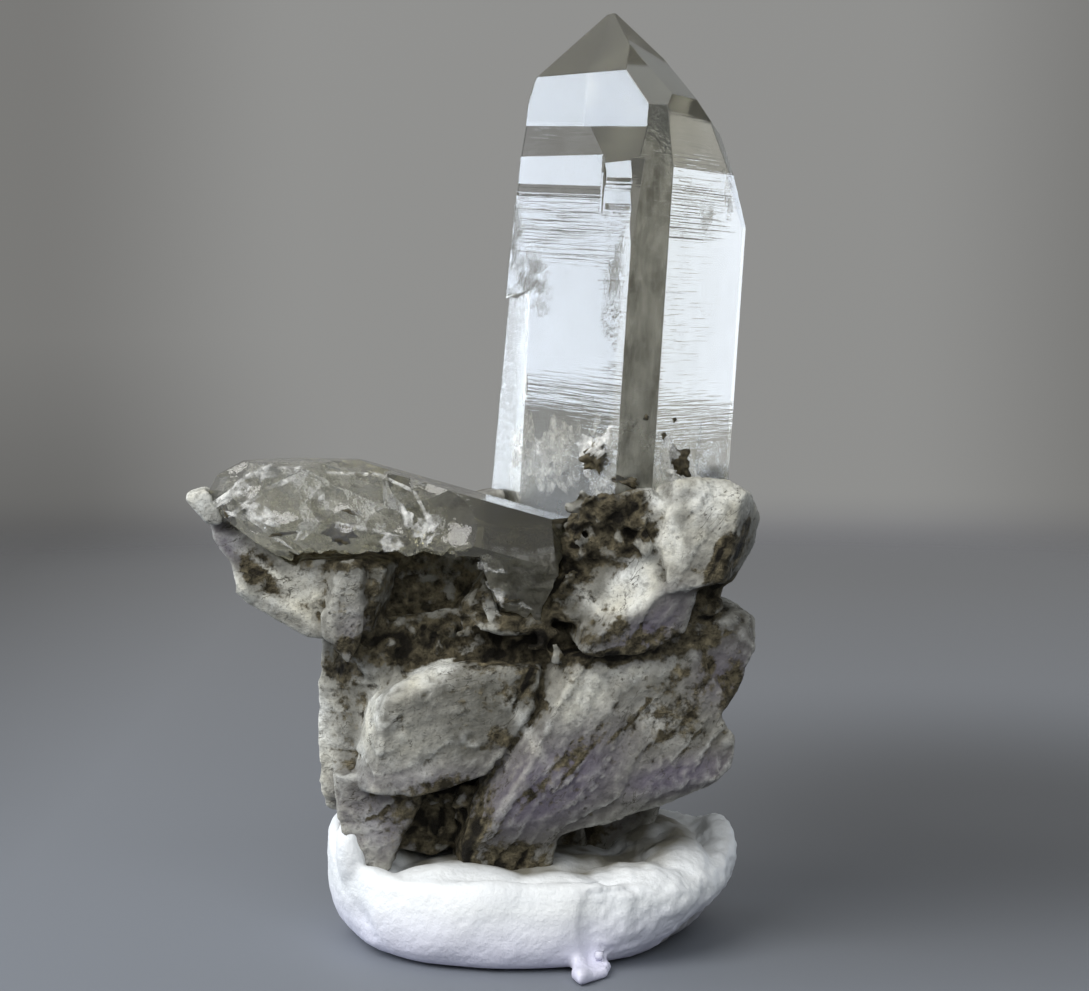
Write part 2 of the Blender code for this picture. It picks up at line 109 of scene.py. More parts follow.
# Flakes close under the tall crystal's front. The place is across, depth under its surface, up.
FOOT_FLAKES = {
    "foot_curved_veil": ((3.9, 0.5, 43.2), (0.35, 0.12, 3.0), (-30, 6), 0.5),
    "foot_slanting_veil": ((6.9, 0.4, 44.3), (2.3, 0.12, 0.7), (-14, -44), 0.7),
    "foot_white_patch": ((0.9, 0.4, 41.6), (1.2, 0.2, 1.5), (-50, 0), 0.7),
    "foot_white_spot": ((7.9, 0.3, 41.0), (0.8, 0.15, 0.7), (0, 0), 0.7),
    "foot_white_strip": ((14.4, 0.4, 42.6), (0.4, 0.12, 1.9), (50, 10), 0.7),
    "chip_flake": ((16.9, 0.1, 65.6), (0.75, 0.15, 1.2), (50, -24), 0.7),
    "chip_flake_low": ((17.2, 0.1, 63.6), (0.5, 0.15, 0.9), (50, 0), 0.8),
    "foot_white_left": ((2.4, 0.5, 42.4), (1.1, 0.15, 1.9), (-50, 10), 0.8),
    "foot_white_high": ((5.4, 0.4, 45.4), (0.5, 0.12, 0.9), (-40, 20), 0.8),
    "foot_white_right": ((11.0, 0.4, 43.2), (1.3, 0.12, 1.5), (40, -20), 0.8),
}
# Painted highlights: white sheets close under the reclining crystal's front. Then pale lines and small faces
# of its breaks, close under it too
SIDE_FLAKES = {
    "side_bright_spot": ((-18.0, 0.25, 39.9), (0.7, 0.12, 0.9), (0, 0), 0.5),
    "side_bright_low": ((-11.7, 0.25, 35.8), (0.8, 0.15, 0.7), (0, 0), 0.6),
}
BREAK_LINES = {
    "upper_left_band": ((-24.0, 0.3, 40.5), (2.4, 0.08, 0.55), (0, -35), 0.6),
    "outer_line_left": ((-23.8, 0.3, 39.0), (1.7, 0.08, 0.20), (0, -38), 0.6),
    "outer_line_middle": ((-20.8, 0.3, 40.7), (2.2, 0.08, 0.24), (0, -20), 0.6),
    "outer_line_top": ((-16.2, 0.3, 41.4), (3.4, 0.06, 0.10), (0, 2), 0.8),
    "right_line_top": ((-11.2, 0.3, 40.6), (1.7, 0.06, 0.13), (0, 26), 0.8),
    "right_line_middle": ((-9.2, 0.3, 38.8), (1.5, 0.06, 0.16), (0, 62), 0.8),
    "right_face": ((-8.9, 0.3, 36.8), (0.8, 0.06, 1.2), (0, 10), 0.8),
    "right_face_inner": ((-10.6, 0.3, 37.6), (0.7, 0.06, 0.9), (0, -20), 0.8),
    "flap_line_left": ((-24.4, 0.3, 37.8), (1.3, 0.08, 0.18), (0, 16), 0.6),
    "flap_line_low": ((-21.9, 0.3, 36.6), (1.8, 0.08, 0.30), (0, 36), 0.6),
    "flap_face": ((-22.6, 0.3, 38.2), (1.7, 0.08, 0.6), (0, 20), 0.6),
    "middle_line": ((-13.6, 0.3, 36.9), (2.0, 0.08, 0.16), (0, 12), 0.6),
    "triangle_face": ((-18.4, 0.3, 37.0), (1.2, 0.08, 0.6), (0, -30), 0.6),
    "shoulder_face": ((-21.4, 0.3, 41.6), (1.8, 0.08, 0.35), (0, -10), 0.6),
    "wedge_flake_left": ((-2.6, 0.2, 31.8), (0.7, 0.08, 1.2), (0, -24), 0.8),
    "wedge_flake_low": ((-1.2, 0.2, 30.6), (0.9, 0.08, 0.5), (0, 10), 0.8),
    "wedge_flake_top": ((-3.4, 0.2, 34.0), (1.1, 0.08, 0.6), (0, 24), 0.8),
}
# Cream clouds inside the foot of the tall crystal
FOOT_CLOUDS = {
    "foot_cream_left": ((2.4, 1.0, 42.0), (2.4, 0.10, 3.0), (-54, 0), 0.6),
    "foot_cream_middle": ((6.4, 1.2, 42.0), (2.4, 0.10, 2.4), (-30, 20), 0.6),
    "foot_cream_corner": ((0.6, 0.5, 41.4), (2.0, 0.10, 1.6), (-56, 0), 0.6),
    "foot_cream_side": ((-0.8, 0.6, 43.6), (0.7, 0.10, 4.6), (-62, 4), 0.5),
}
# Brown lumps, specks and slits at the front of each crystal
FOOT_INCLUSIONS = {
    "brown_lump_left": ((5.7, 0.1, 42.5), (1.1, 0.4, 1.1), (0, 10), 0.9),
    "brown_lump_small": ((4.6, 0.1, 42.4), (0.35, 0.25, 0.30), (0, 0), 0.7),
    "brown_lump_right": ((12.2, 0.1, 42.2), (0.95, 0.5, 1.3), (0, -12), 0.8),
    "brown_speck_upper": ((9.6, 0.1, 46.0), (0.20, 0.15, 0.24), (0, 0), 0.7),
    "brown_speck_right": ((12.1, 0.1, 45.6), (0.20, 0.15, 0.22), (0, 0), 0.7),
    "brown_speck_middle": ((11.1, 0.1, 44.4), (0.24, 0.18, 0.26), (0, 0), 0.7),
    "brown_speck_foot": ((8.0, 0.1, 40.6), (0.9, 0.3, 0.35), (0, 16), 0.9),
}
SIDE_INCLUSIONS = {
    "side_brown_patch": ((-15.9, 0.5, 36.5), (1.2, 0.25, 0.7), (0, 8), 0.8),
    "side_dark_slit": ((-20.7, 0.2, 36.5), (1.1, 0.15, 0.15), (0, -10), 0.6),
    "side_dark_fleck": ((-14.9, 0.2, 38.3), (0.7, 0.12, 0.14), (0, 10), 0.9),
    "wedge_brown_low": ((-1.9, 0.1, 30.9), (0.7, 0.08, 0.35), (0, -16), 0.9),
    "side_tip_slit": ((-25.6, 0.2, 38.2), (0.25, 0.12, 0.9), (0, -20), 0.6),
}

# Shell-shaped breaks on the reclining crystal: a place on its surface, the way it faces from the front,
# left positive, its elevation, the radius of the break and its depth
SIDE_SCOOPS = (
    ((-20.9, -12.6, 38.4), 20, 18, 7.5, 0.9), ((-13.9, -12.4, 40.2), 0, 34, 9.0, 0.7),
    ((-9.3, -12.0, 38.1), -25, 8, 5.0, 0.9), ((-24.6, -10.6, 41.2), 30, 44, 5.0, 0.6),
    ((-25.3, -11.6, 38.1), 34, -10, 4.0, 0.6), ((-16.8, -12.6, 36.5), 4, -20, 4.0, 0.6),
    ((-12.2, -12.4, 36.1), -6, -24, 3.0, 0.5), ((-22.1, -12.2, 35.9), 24, -34, 3.0, 0.5),
    ((-19.2, -8.0, 42.8), 10, 70, 9.0, 0.5), ((-14.3, -7.6, 42.2), 0, 68, 7.0, 0.4),
    ((-10.4, -11.4, 39.8), -30, 40, 4.0, 0.5), ((-17.4, -12.6, 39.4), 12, 10, 3.2, 0.5),
    ((-22.8, -11.6, 39.9), 40, 30, 3.0, 0.4), ((-18.0, -3.0, 39.0), 180, 20, 8.0, 0.6),
    ((-10.0, -2.6, 36.0), 175, 0, 7.0, 0.5))
SMALL_SCOOPS = 18
# Round break at the left of its right end: middle and radius
WEDGE_NOTCH = ((-8.8, -9.0, 27.9), 6.4)
# Height at which its right end is broken off
WEDGE_END = 29.5
# The blocks that leave its underside and its right end ragged: lowest and highest corner
RAGGED_BLOCKS = (((-20.4, -14.5, 30.0), (-6.4, -1.0, 35.0)), ((-7.0, -14.5, 25.0), (4.0, -1.0, WEDGE_END)))

# Rock surface
ROCK_CHAMFER = 0.25
ROCK_VOXEL = 0.29
SEAT_GAP = 0.12
CREVICE_FOOT = -8.8
CREVICE_SLANT = 0.33
LEFT_GRAIN = Vector((0.97, 0.0, 0.24)).normalized()
RIGHT_GRAIN = Vector((0.62, 0.0, 0.78)).normalized()

# Feldspar slabs. Each has its outline across and up, the depth of its outer and inner face,
# and its turn about the upright and nod about the crosswise axis in degrees.
FELDSPAR_SLABS = {
    "left_core": (
        ((-17.8, 12), (-18, 21), (-18.2, 29.5), (-15, 34.2), (-5, 35.2), (3, 34.5), (3.5, 20), (0, 13),
         (-6, 9)),
        -5.2, 9.5, 0, 0),
    "recess_shelf": (
        ((-16, 26), (-15.4, 28.6), (-6, 29.8), (0.5, 28.6), (0.5, 24), (-14, 24)),
        -7.4, 2.0, 6, -14),
    "quartz_lumps": (
        ((-4.9, 31.2), (-3.6, 33.4), (-2.0, 34.6), (-1.2, 31.0), (-1.0, 28.2), (-3.2, 27.8), (-5.4, 28.9),
         (-5.8, 30.4)),
        -8.8, -3.0, 10, -10),
    "pillow": (
        ((-14.6, 14.4), (-14.5, 16.6), (-13.6, 21.9), (-11.2, 23.6), (-7.8, 24.9), (-3, 25.1), (1.0, 24.8),
         (0.2, 21.5), (-2.4, 17.4), (-3.8, 15.6), (-6.5, 14.8), (-9.6, 14.0)),
        -10.8, 1.0, 8, 3),
    "rough_side": (
        ((-18.8, 13), (-19.3, 19), (-18.8, 26.4), (-12, 26.8), (-9.8, 22), (-11.4, 12.6)),
        -7.2, 4.0, -30, 0),
    "left_foot": (
        ((-17.4, 15.5), (-8.6, 15.8), (-9.6, 12.6), (-11.0, 10.2), (-13.0, 5.6), (-15.0, 5.6),
         (-16.4, 10.8)),
        -8.8, 3.0, -6, 8),
    "cavity_back": (
        ((-12, 15.5), (-3.2, 15.8), (-4.8, 9.8), (-8.4, 7.6), (-11.6, 8.4)),
        -5.4, 3.0, 10, 6),
    "arm": (
        ((-27.8, 37.4), (-27.2, 35.6), (-25.6, 33.4), (-24.8, 30.6), (-22.6, 29.2), (-14, 26.6),
         (-12, 33.5), (-18, 35.5)),
        -9.0, -1.5, -10, 0),
    "arm_knob": (
        ((-29.2, 39.3), (-28.6, 39.7), (-27.2, 40.1), (-26.0, 39.0), (-26.0, 37.0), (-27.2, 37.0),
         (-28.4, 38.3)),
        -10.2, -6.2, 6, 0),
    "arm_prism": (
        ((-24.9, 31.4), (-24.2, 32.0), (-18.4, 29.2), (-17.4, 27.2), (-19.4, 27.4), (-24.4, 30.3)),
        -9.6, -4.0, -14, 12),
    "upright_blade": (
        ((-17.0, 34.0), (-13.4, 34.2), (-13.8, 30), (-14.3, 27.2), (-15.4, 25.2), (-16.6, 26.6),
         (-17.3, 29.0)),
        -11.4, -5.0, 6, 2),
    "small_finger": (
        ((-17.9, 29.6), (-17.3, 30.1), (-16.5, 29.8), (-16.4, 27.6), (-17.1, 27.0), (-17.7, 27.5)),
        -11.0, -5.0, -8, 4),
    "left_rear_upper": (
        ((-12.5, 23), (-11, 33.5), (-7, 37.6), (-1, 38.6), (4, 37), (4, 24)),
        12.4, 3.0, 14, -6),
    "left_rear_lower": (
        ((-14.6, 8.5), (-16, 15), (-13.5, 25.4), (-3, 27), (4, 24), (4, 10)),
        13.8, 4.0, 4, 5),
    "left_rear_side": (
        ((-17.4, 17), (-17.8, 24), (-15.4, 30.5), (-8, 32), (-8, 15)),
        9.8, 1.0, 24, 0),
    "left_rear_foot": (
        ((-14, 13), (4, 14), (5, 5.8), (-11, 5.8)),
        9.5, 0.0, 0, 0),
    "crest": (
        ((9.4, 38.8), (10.4, 40.6), (13.2, 41.2), (16.0, 41.1), (18.1, 40.0), (18.9, 38.2), (18.4, 35.6),
         (16.6, 32.6), (11.5, 31.5), (10.8, 35)),
        -12.0, 6.4, -4, -6),
    "crust_upper": (
        ((4.4, 34.6), (5.2, 39.4), (9.8, 40.2), (12, 38), (12, 33)),
        -10.9, -4.0, -6, -4),
    "crust_lower": (
        ((0.8, 29), (1.8, 35.8), (4.2, 37.6), (9, 37.5), (11, 32), (6, 28.6)),
        -10.2, -4.0, -14, -8),
    "upper_slab": (
        ((4.2, 26.3), (4.7, 29.1), (6.7, 33.0), (8.6, 34.4), (13.4, 34.5), (14.6, 33.0), (13.2, 28.0),
         (9.1, 25.9)),
        -12.1, 6.0, 14, 10),
    "upper_slab_back": (
        ((10, 26.5), (11.6, 33.4), (16.8, 34.6), (17.0, 33.2), (15.6, 29.6), (13, 27)),
        -9.2, 6.0, 22, 4),
    "wedge_foot": (
        ((-4.8, 31.6), (-1.0, 31.4), (1.4, 31.2), (1.7, 28.8), (-0.4, 27.6), (-3.6, 28.0)),
        -9.8, -3.0, 4, -8),
    "crevice_fill": (
        ((-2.4, 22), (-2.6, 31), (1.0, 35.8), (6.0, 38.6), (8.6, 38.8), (8.6, 24)),
        -7.4, 8.0, 0, 0),
    "middle_slab": (
        ((9.0, 22), (9.6, 25.6), (14.2, 28.6), (18.0, 29.4), (19.8, 28.7), (19.4, 26.8), (17.4, 22.2),
         (15.8, 20)),
        -8.8, 7.0, 12, 2),
    "lower_slab_face": (
        ((-5.8, 5.4), (-5.6, 9.8), (-4.3, 13.9), (-1.2, 19.6), (0.9, 23.2), (2.4, 25.9), (9.1, 26.5),
         (14.2, 26.9), (17.0, 22.4), (16.2, 20.6), (17.5, 18.6), (17.2, 16.4), (15.2, 14.3), (9.2, 12.3),
         (3.6, 10.6), (1.9, 9.4), (1.6, 5.4)),
        -10.6, 7.0, 8, -1),
    "lower_slab_foot": (
        ((-5.0, 5.4), (-5.0, 9.8), (-3.8, 13.8), (5.6, 19.0), (12.0, 16.0), (9.2, 12.6), (2.4, 10.0),
         (1.0, 5.4)),
        -8.8, 5.4, 8, 0),
    "right_rear_crest": (
        ((3.0, 29), (1.0, 37.0), (8.6, 41.0), (15.6, 40.4), (17.4, 35), (15, 29)),
        13.6, 5.0, 8, 3),
    "right_rear_slab": (
        ((0.5, 12), (-1.0, 23), (2.5, 31.6), (14, 32.5), (17, 27), (15.4, 17), (10.5, 10)),
        12.6, 3.0, -10, -5),
    "right_rear_foot": (
        ((1, 12), (13, 14), (9, 5.8), (3, 5.8)),
        9.0, 1.0, 0, 0),
}
# Facets cut on the slabs: the way they face from the front, left positive, their elevation, and a point
FELDSPAR_FACETS = {
    "upper_slab": ((35, 45, (10.4, -11.7, 31.7)), (-70, 10, (14.2, -9.4, 32))),
    "pillow": ((12, 52, (-8.0, -10.8, 23.9)), (62, 6, (-13.4, -10.8, 18))),
    "lower_slab_face": (
        (50, 24, (0.35, -10.4, 19.8)), (-60, 28, (16.2, -7.6, 24)), (-8, -10, (0.0, -11.7, 16.6)),
        (-14, -34, (8.0, -10.4, 14.2))),
    "crest": ((70, 16, (11.2, -11.6, 37.4)), (-16, 48, (16.6, -11.4, 39.8)), (-66, -10, (18.0, -9.4, 36))),
    "left_foot": ((-30, -20, (-10.6, -8.6, 10.5)), (40, 0, (-16.6, -8.4, 11))),
    "arm": ((20, -46, (-22.0, -9.2, 30.6)), (10, 40, (-24.0, -9.4, 35.0))),
    "upright_blade": ((-70, 0, (-14.1, -11.0, 30)), (66, 10, (-17.0, -11.0, 31))),
    "middle_slab": ((-52, 34, (18.6, -6.4, 28.6)),),
}

# Small lumps grown on the rock: middle across and up, half width and height of their area, nearest and
# farthest depth, smallest and largest size, and how many
ROCK_LUMPS = (
    (6.0, 38.2, 3.4, 1.4, -11.6, -9.8, 0.45, 0.95, 24),
    (2.6, 34.2, 1.8, 3.0, -11.0, -9.4, 0.45, 0.95, 20), (1.0, 28.6, 1.1, 3.4, -10.6, -9.0, 0.4, 0.8, 18),
    (-4.6, 29.2, 1.6, 1.6, -9.4, -8.4, 0.4, 0.8, 12), (-10.5, 27.4, 3.8, 1.0, -8.2, -7.4, 0.4, 0.8, 8),
    (-21.5, 31.4, 3.6, 1.4, -9.6, -8.4, 0.4, 0.8, 8), (15.6, 31.6, 0.9, 2.6, -9.4, -7.6, 0.5, 0.9, 8),
    (9.0, 36.2, 2.2, 1.2, -11.8, -10.8, 0.35, 0.7, 10), (-7.6, 11.6, 2.4, 2.2, -7.2, -5.6, 0.4, 1.0, 8))

# Colour patches on the rock's front: across, up, half width, half height, lean in degrees, strength
ROCK_PATCHES = {
    # Dirt, with painted shade in the recesses, crevices and the hollow under the pillow; the strongest
    # patches become painted near-black shade
    "dirt": (
        (1.6, 32.0, 0.8, 3.6, -25, 2.2), (0.2, 27.4, 1.3, 1.3, 30, 2.2), (-7.4, 14.0, 2.9, 1.1, 8, 2.2),
        (-9.5, 34.9, 7.0, 0.4, 4, 2.0), (5.6, 26.3, 5.0, 0.35, 8, 1.9), (-0.4, 24.0, 0.4, 1.6, -28, 1.8),
        (7.0, 37.9, 1.2, 0.7, 0, 1.9), (3.8, 36.6, 0.9, 0.7, 30, 2.0), (9.4, 36.4, 0.4, 0.5, 0, 2.3),
        (17.2, 35.0, 0.4, 2.6, -25, 1.8), (-5.2, 10.0, 0.8, 3.2, -20, 1.8),
        (-10.4, 30.6, 0.5, 1.4, 0, 1.5), (-1.2, 28.8, 1.8, 1.2, 0, 1.3), (15.4, 34.4, 0.5, 2.4, -25, 1.3),
        (17.4, 35.6, 0.9, 2.4, -25, 0.9), (8.6, 20.8, 0.25, 3.4, -45, 1.0),
        (4.4, 17.6, 0.22, 2.8, -42, 0.9), (-2.4, 7.6, 3.4, 1.9, 0, 1.3), (9.6, 27.4, 3.2, 0.9, 20, 0.8),
        (12.4, 20.9, 3.4, 2.2, 45, 0.6), (-0.6, 13.4, 0.22, 2.6, -42, 0.9),
        (-7.9, 31.2, 8.0, 3.4, 8, 0.7), (-11.3, 26.7, 6.0, 1.7, 4, 1.2), (-3.0, 26.4, 4.5, 1.5, 0, 1.2),
        (6.6, 38.2, 3.0, 2.2, 12, 1.3), (3.0, 34.4, 3.4, 2.8, 40, 1.1), (1.3, 30.3, 1.6, 5.0, 14, 1.3),
        (0.9, 26.9, 1.6, 2.0, 30, 1.4), (6.5, 26.0, 5.6, 0.7, 6, 1.3), (13.4, 27.2, 3.6, 1.0, 14, 1.1),
        (15.6, 31.2, 1.5, 3.0, -20, 1.2), (17.0, 35.2, 1.2, 2.6, -25, 1.0),
        (12.6, 22.2, 4.0, 2.2, 40, 0.5), (17.4, 22.0, 1.4, 3.2, 20, 1.0),
        (-23.0, 33.2, 2.0, 1.2, -40, 1.2), (-16.6, 24.6, 1.4, 2.6, 0, 0.9),
        (-16.2, 21.7, 2.2, 5.0, 0, 0.35), (-2.8, 18.9, 1.2, 0.7, 0, 1.2), (-8.0, 10.6, 3.6, 3.4, 30, 1.2),
        (-6.8, 12.8, 1.8, 2.6, 20, 1.4), (-1.8, 7.2, 4.6, 1.6, 0, 0.6), (7.6, 35.8, 2.2, 1.6, 30, 1.0),
        (-0.2, 22.8, 1.2, 3.0, 28, 0.6), (-12.4, 12.2, 2.0, 1.2, 0, 0.4), (-3.2, 22.8, 3.6, 2.0, 10, 0.4),
        (6.0, 28.2, 3.2, 1.4, 30, 0.6), (-10.2, 34.4, 9.0, 0.8, 4, 1.3), (-13.3, 30.0, 0.8, 3.6, 0, 0.8),
        (-1.0, 9.4, 3.4, 1.2, 0, 0.4), (-5.0, 30.0, 3.0, 2.6, 0, 0.6), (3.0, 17.4, 6.0, 0.9, 45, 0.45),
        (13.6, 24.6, 3.4, 0.9, 20, 0.6)),
    # Pale stone, with painted highlights on the facets that face the light
    "pale": (
        (8.4, 32.0, 2.4, 1.3, 45, 2.2), (11.4, 36.2, 1.1, 1.9, 20, 1.8), (10.7, 38.9, 0.8, 1.2, 20, 1.3),
        (-22.4, 33.2, 3.4, 0.5, -36, 1.1), (-8.8, 24.4, 2.8, 0.7, 24, 1.3),
        (-13.8, 20.4, 0.8, 3.4, -12, 0.9), (-17.9, 19.4, 1.3, 5.0, 0, 0.8),
        (15.2, 39.4, 3.8, 1.9, 0, 0.85), (-19.4, 30.8, 2.6, 2.4, -20, 0.7),
        (-28.2, 38.9, 1.4, 1.6, 0, 1.3), (4.6, 22.8, 3.0, 1.8, 45, 0.8), (-4.2, 29.4, 1.0, 1.2, 0, 0.7),
        (-0.6, 20.0, 0.5, 3.4, 30, 0.5), (7.6, 24.4, 3.4, 1.0, 10, 0.6), (5.2, 30.4, 0.7, 2.6, 45, 0.7),
        (-10.6, 18.0, 3.4, 3.4, 4, 0.35), (10.5, 20.4, 1.2, 2.6, 45, 0.5),
        (-24.4, 31.4, 1.6, 0.7, -40, 0.9), (-15.3, 31.0, 0.9, 3.0, 0, 0.4),
        (-7.0, 30.0, 2.6, 0.8, 10, 0.35), (14.6, 37.0, 3.6, 2.6, 20, 0.45),
        (-21.0, 30.2, 4.0, 1.6, -25, 0.45), (-14.4, 9.6, 2.0, 3.0, 0, 0.4),
        (3.6, 35.8, 1.6, 0.5, 30, 0.5), (1.8, 30.6, 0.4, 2.6, 30, 0.4), (-3.6, 29.4, 1.2, 0.9, 0, 0.35)),
    # Painted lilac shade on the undersides and on faces turned away from the light
    "lilac": (
        (1.6, 15.0, 6.4, 3.4, 30, 1.5), (3.6, 14.4, 8.4, 3.4, 20, 0.5), (12.0, 15.6, 5.0, 1.5, 12, 1.4),
        (9.6, 28.2, 4.4, 1.9, 38, 1.2), (-13.6, 11.2, 3.6, 3.4, 0, 1.0),
        (-26.0, 35.4, 1.8, 1.2, -40, 1.4), (-15.0, 28.2, 1.3, 2.2, 0, 0.7),
        (16.4, 24.4, 3.0, 2.4, 50, 0.9), (-9.0, 15.4, 5.5, 1.3, 0, 0.9)),
    "rubble": (
        (15.0, 38.6, 4.0, 2.4, 12, 0.35), (5.8, 38.4, 5.0, 2.4, 12, 1.0), (2.6, 33.8, 2.6, 3.4, 30, 0.9),
        (0.6, 27.4, 1.4, 3.0, 30, 0.8), (8.6, 36.0, 2.4, 1.6, 30, 0.7), (-3.4, 30.4, 3.4, 3.0, 0, 0.5),
        (-8.5, 26.6, 6.0, 1.0, 0, 0.4)),
}
# Etched and striped areas on the tall crystal's two bright faces: distance to the left of its axis,
# height along it, half width, half height, strength
CRYSTAL_PATCHES = {
    "striped": (
        (6.0, 22.8, 6.0, 2.6, 1.15), (1.4, 21.0, 1.2, 3.6, 0.8), (3.0, 8.8, 4.5, 0.7, 1.0),
        (7.6, 31.2, 2.2, 1.4, 1.0), (-4.8, 25.5, 5.0, 3.6, 1.4), (-5.0, 19.0, 5.0, 6.0, 0.65),
        (-2.6, 15.0, 0.7, 9.0, 1.0), (-5.0, 7.0, 5.0, 1.8, 0.6)),
    "etched": (
        (9.9, 22.4, 0.45, 2.4, 1.6), (8.4, 19.2, 1.2, 1.8, 1.3), (9.6, 17.2, 0.6, 1.1, 1.2),
        (7.4, 17.6, 0.8, 1.6, 0.8), (5.0, 35.0, 4.5, 2.0, 0.12), (6.8, 28.4, 2.8, 1.2, 0.16),
        (-6.6, 25.5, 0.6, 1.5, 1.0), (1.2, 20.0, 0.6, 5.0, 0.9), (-4.0, 3.0, 5.0, 3.0, 0.5)),
}
# Growth ledges on its left face: nearest and farthest distance to the left of the axis, lowest and
# highest height along it
CRYSTAL_LEDGES = (
    (2.84, 10.5, 26.41, 27.02), (2.84, 10.5, 25.28, 26.24), (2.84, 10.5, 24.66, 24.85),
    (0.30, 2.3, 26.85, 27.80), (0.30, 2.3, 24.24, 25.60))


def bmesh_from(obj):
    """The evaluated shape of an object in its own units."""
    bpy.context.view_layer.update()
    graph = bpy.context.evaluated_depsgraph_get()
    mesh = bpy.data.meshes.new_from_object(obj.evaluated_get(graph), depsgraph=graph)
    bm = bmesh.new()
    bm.from_mesh(mesh)
    bpy.data.meshes.remove(mesh)
    return bm


def clamped(value):
    return min(1.0, max(0.0, value))


def compass(angle, elevation):
    """A direction, its angle from the front, left positive, and its elevation in degrees."""
    turn, rise = math.radians(angle), math.radians(elevation)
    return Vector((-math.sin(turn) * math.cos(rise), -math.cos(turn) * math.cos(rise), math.sin(rise)))


def new_object(name, bm):
    mesh = bpy.data.meshes.new(name)
    bm.to_mesh(mesh)
    bm.free()
    obj = bpy.data.objects.new(name, mesh)
    bpy.context.scene.collection.objects.link(obj)
    return obj


def remove_objects(*objects):
    for obj in objects:
        bpy.data.objects.remove(obj, do_unlink=True)


def subtract(body, cutter):
    """Cuts one object's shape out of another's, by a modifier."""
    cut = body.modifiers.new("cut", "BOOLEAN")
    cut.operation = "DIFFERENCE"
    cut.solver = "EXACT"
    cut.object = cutter


def voxel_skin(name, bm, voxel):
    """A shape's parts joined into one skin of small even faces."""
    body = new_object(name, bm)
    remesh = body.modifiers.new("even_surface", "REMESH")
    remesh.mode = "VOXEL"
    remesh.voxel_size = voxel
    bm = bmesh_from(body)
    remove_objects(body)
    return bm


def node_copy(node):
    """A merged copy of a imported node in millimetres."""
    bm = bmesh.new()
    bm.from_mesh(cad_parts[node].data)
    bmesh.ops.scale(bm, verts=bm.verts, vec=(1.0 / MM, 1.0 / MM, 1.0 / MM))
    bmesh.ops.remove_doubles(bm, verts=bm.verts, dist=0.002)
    return bm


def finish_piece(name, bm, material, node, smooth=False):
    """Turns a shape in millimetres into a piece that rides on the specimen."""
    bmesh.ops.scale(bm, verts=bm.verts, vec=(MM, MM, MM))
    piece = new_object(name, bm)
    piece.data.materials.append(material)
    piece.data.polygons.foreach_set("use_smooth", [smooth] * len(piece.data.polygons))
    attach(piece, "root")
    if node:
        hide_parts(node)
    return piece


class CrystalFrame:
    """Directions and heights along a crystal's long axis."""

    def __init__(self, centre, axis, front):
        self.centre = centre
        self.axis = axis.normalized()
        self.front = (front - front.dot(self.axis) * self.axis).normalized()
        self.side = self.front.cross(self.axis)

    def outward(self, angle):
        turn = math.radians(angle)
        return math.cos(turn) * self.front + math.sin(turn) * self.side

    def height(self, point):
        return (point - self.centre).dot(self.axis)


def main_crystal_frame():
    axis = Vector((math.sin(MAIN_LEAN), 0.0, math.cos(MAIN_LEAN)))
    return CrystalFrame(MAIN_CENTRE, axis, FRONT)


def side_crystal_frame():
    level = Vector((math.cos(SIDE_YAW), math.sin(SIDE_YAW), 0.0))
    axis = math.cos(SIDE_FALL) * level - math.sin(SIDE_FALL) * UP
    return CrystalFrame(SIDE_CENTRE, axis, FRONT)


def swell(bm, gap):
    """Moves a shape's faces outwards by a gap."""
    bm.normal_update()
    places = [vert.co + gap * vert.calc_shell_factor() * vert.normal for vert in bm.verts]
    for vert, place in zip(bm.verts, places):
        vert.co = place


def hull_bmesh(node, gap):
    """A crystal's outer hull, swollen by a gap."""
    crystal = node_copy(node)
    bm = bmesh.new()
    for vert in crystal.verts:
        bm.verts.new(vert.co)
    crystal.free()
    hull = bmesh.ops.convex_hull(bm, input=bm.verts)
    left_over = hull["geom_interior"] + hull["geom_unused"]
    spare = {item for item in left_over if isinstance(item, bmesh.types.BMVert)}
    bmesh.ops.delete(bm, geom=list(spare), context="VERTS")
    bmesh.ops.recalc_face_normals(bm, faces=bm.faces)
    bmesh.ops.dissolve_limit(bm, angle_limit=math.radians(1.0), verts=bm.verts, edges=bm.edges)
    swell(bm, gap)
    bmesh.ops.triangulate(bm, faces=bm.faces)
    return bm


def swollen_copy(node, gap):
    """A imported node's own shape, swollen by a gap."""
    bm = node_copy(node)
    swell(bm, gap)
    return bm


def hull_planes(bm):
    """The planes of a convex shape: normals and offsets."""
    bm.normal_update()
    large = [face for face in bm.faces if face.calc_area() > 1e-4]
    normals = np.array([face.normal for face in large])
    offsets = np.array([face.normal.dot(face.verts[0].co) for face in large])
    return normals, offsets


def patch_sum(patches, across, upward):
    """How strongly a place lies in a set of soft patches: the strongest of them."""
    value = 0.0
    for place_across, place_up, half_width, half_height, *rest in patches:
        lean, strength = rest if len(rest) == 2 else (0.0, rest[0])
        turn = math.radians(lean)
        step_across, step_up = across - place_across, upward - place_up
        along = math.cos(turn) * step_across + math.sin(turn) * step_up
        beside = math.cos(turn) * step_up - math.sin(turn) * step_across
        reach = (along / half_width) ** 2 + (beside / half_height) ** 2
        if reach < 6.0:
            value = max(value, strength * math.exp(-0.9 * reach))
    return value


def cut_away(bm, point, normal):
    """Cuts off what lies outside a plane and closes the cut."""
    cut = bmesh.ops.bisect_plane(
        bm, geom=bm.verts[:] + bm.edges[:] + bm.faces[:], dist=1e-5,
        plane_co=point, plane_no=normal, clear_outer=True)
    rim = [item for item in cut["geom_cut"] if isinstance(item, bmesh.types.BMEdge)]
    if rim:
        bmesh.ops.edgeloop_fill(bm, edges=rim)
    bmesh.ops.recalc_face_normals(bm, faces=bm.faces)


def chamfer(bm, edges, width):
    bmesh.ops.bevel(
        bm, geom=edges, offset=width, segments=1, profile=0.5, affect="EDGES", clamp_overlap=True,
        material=-1)


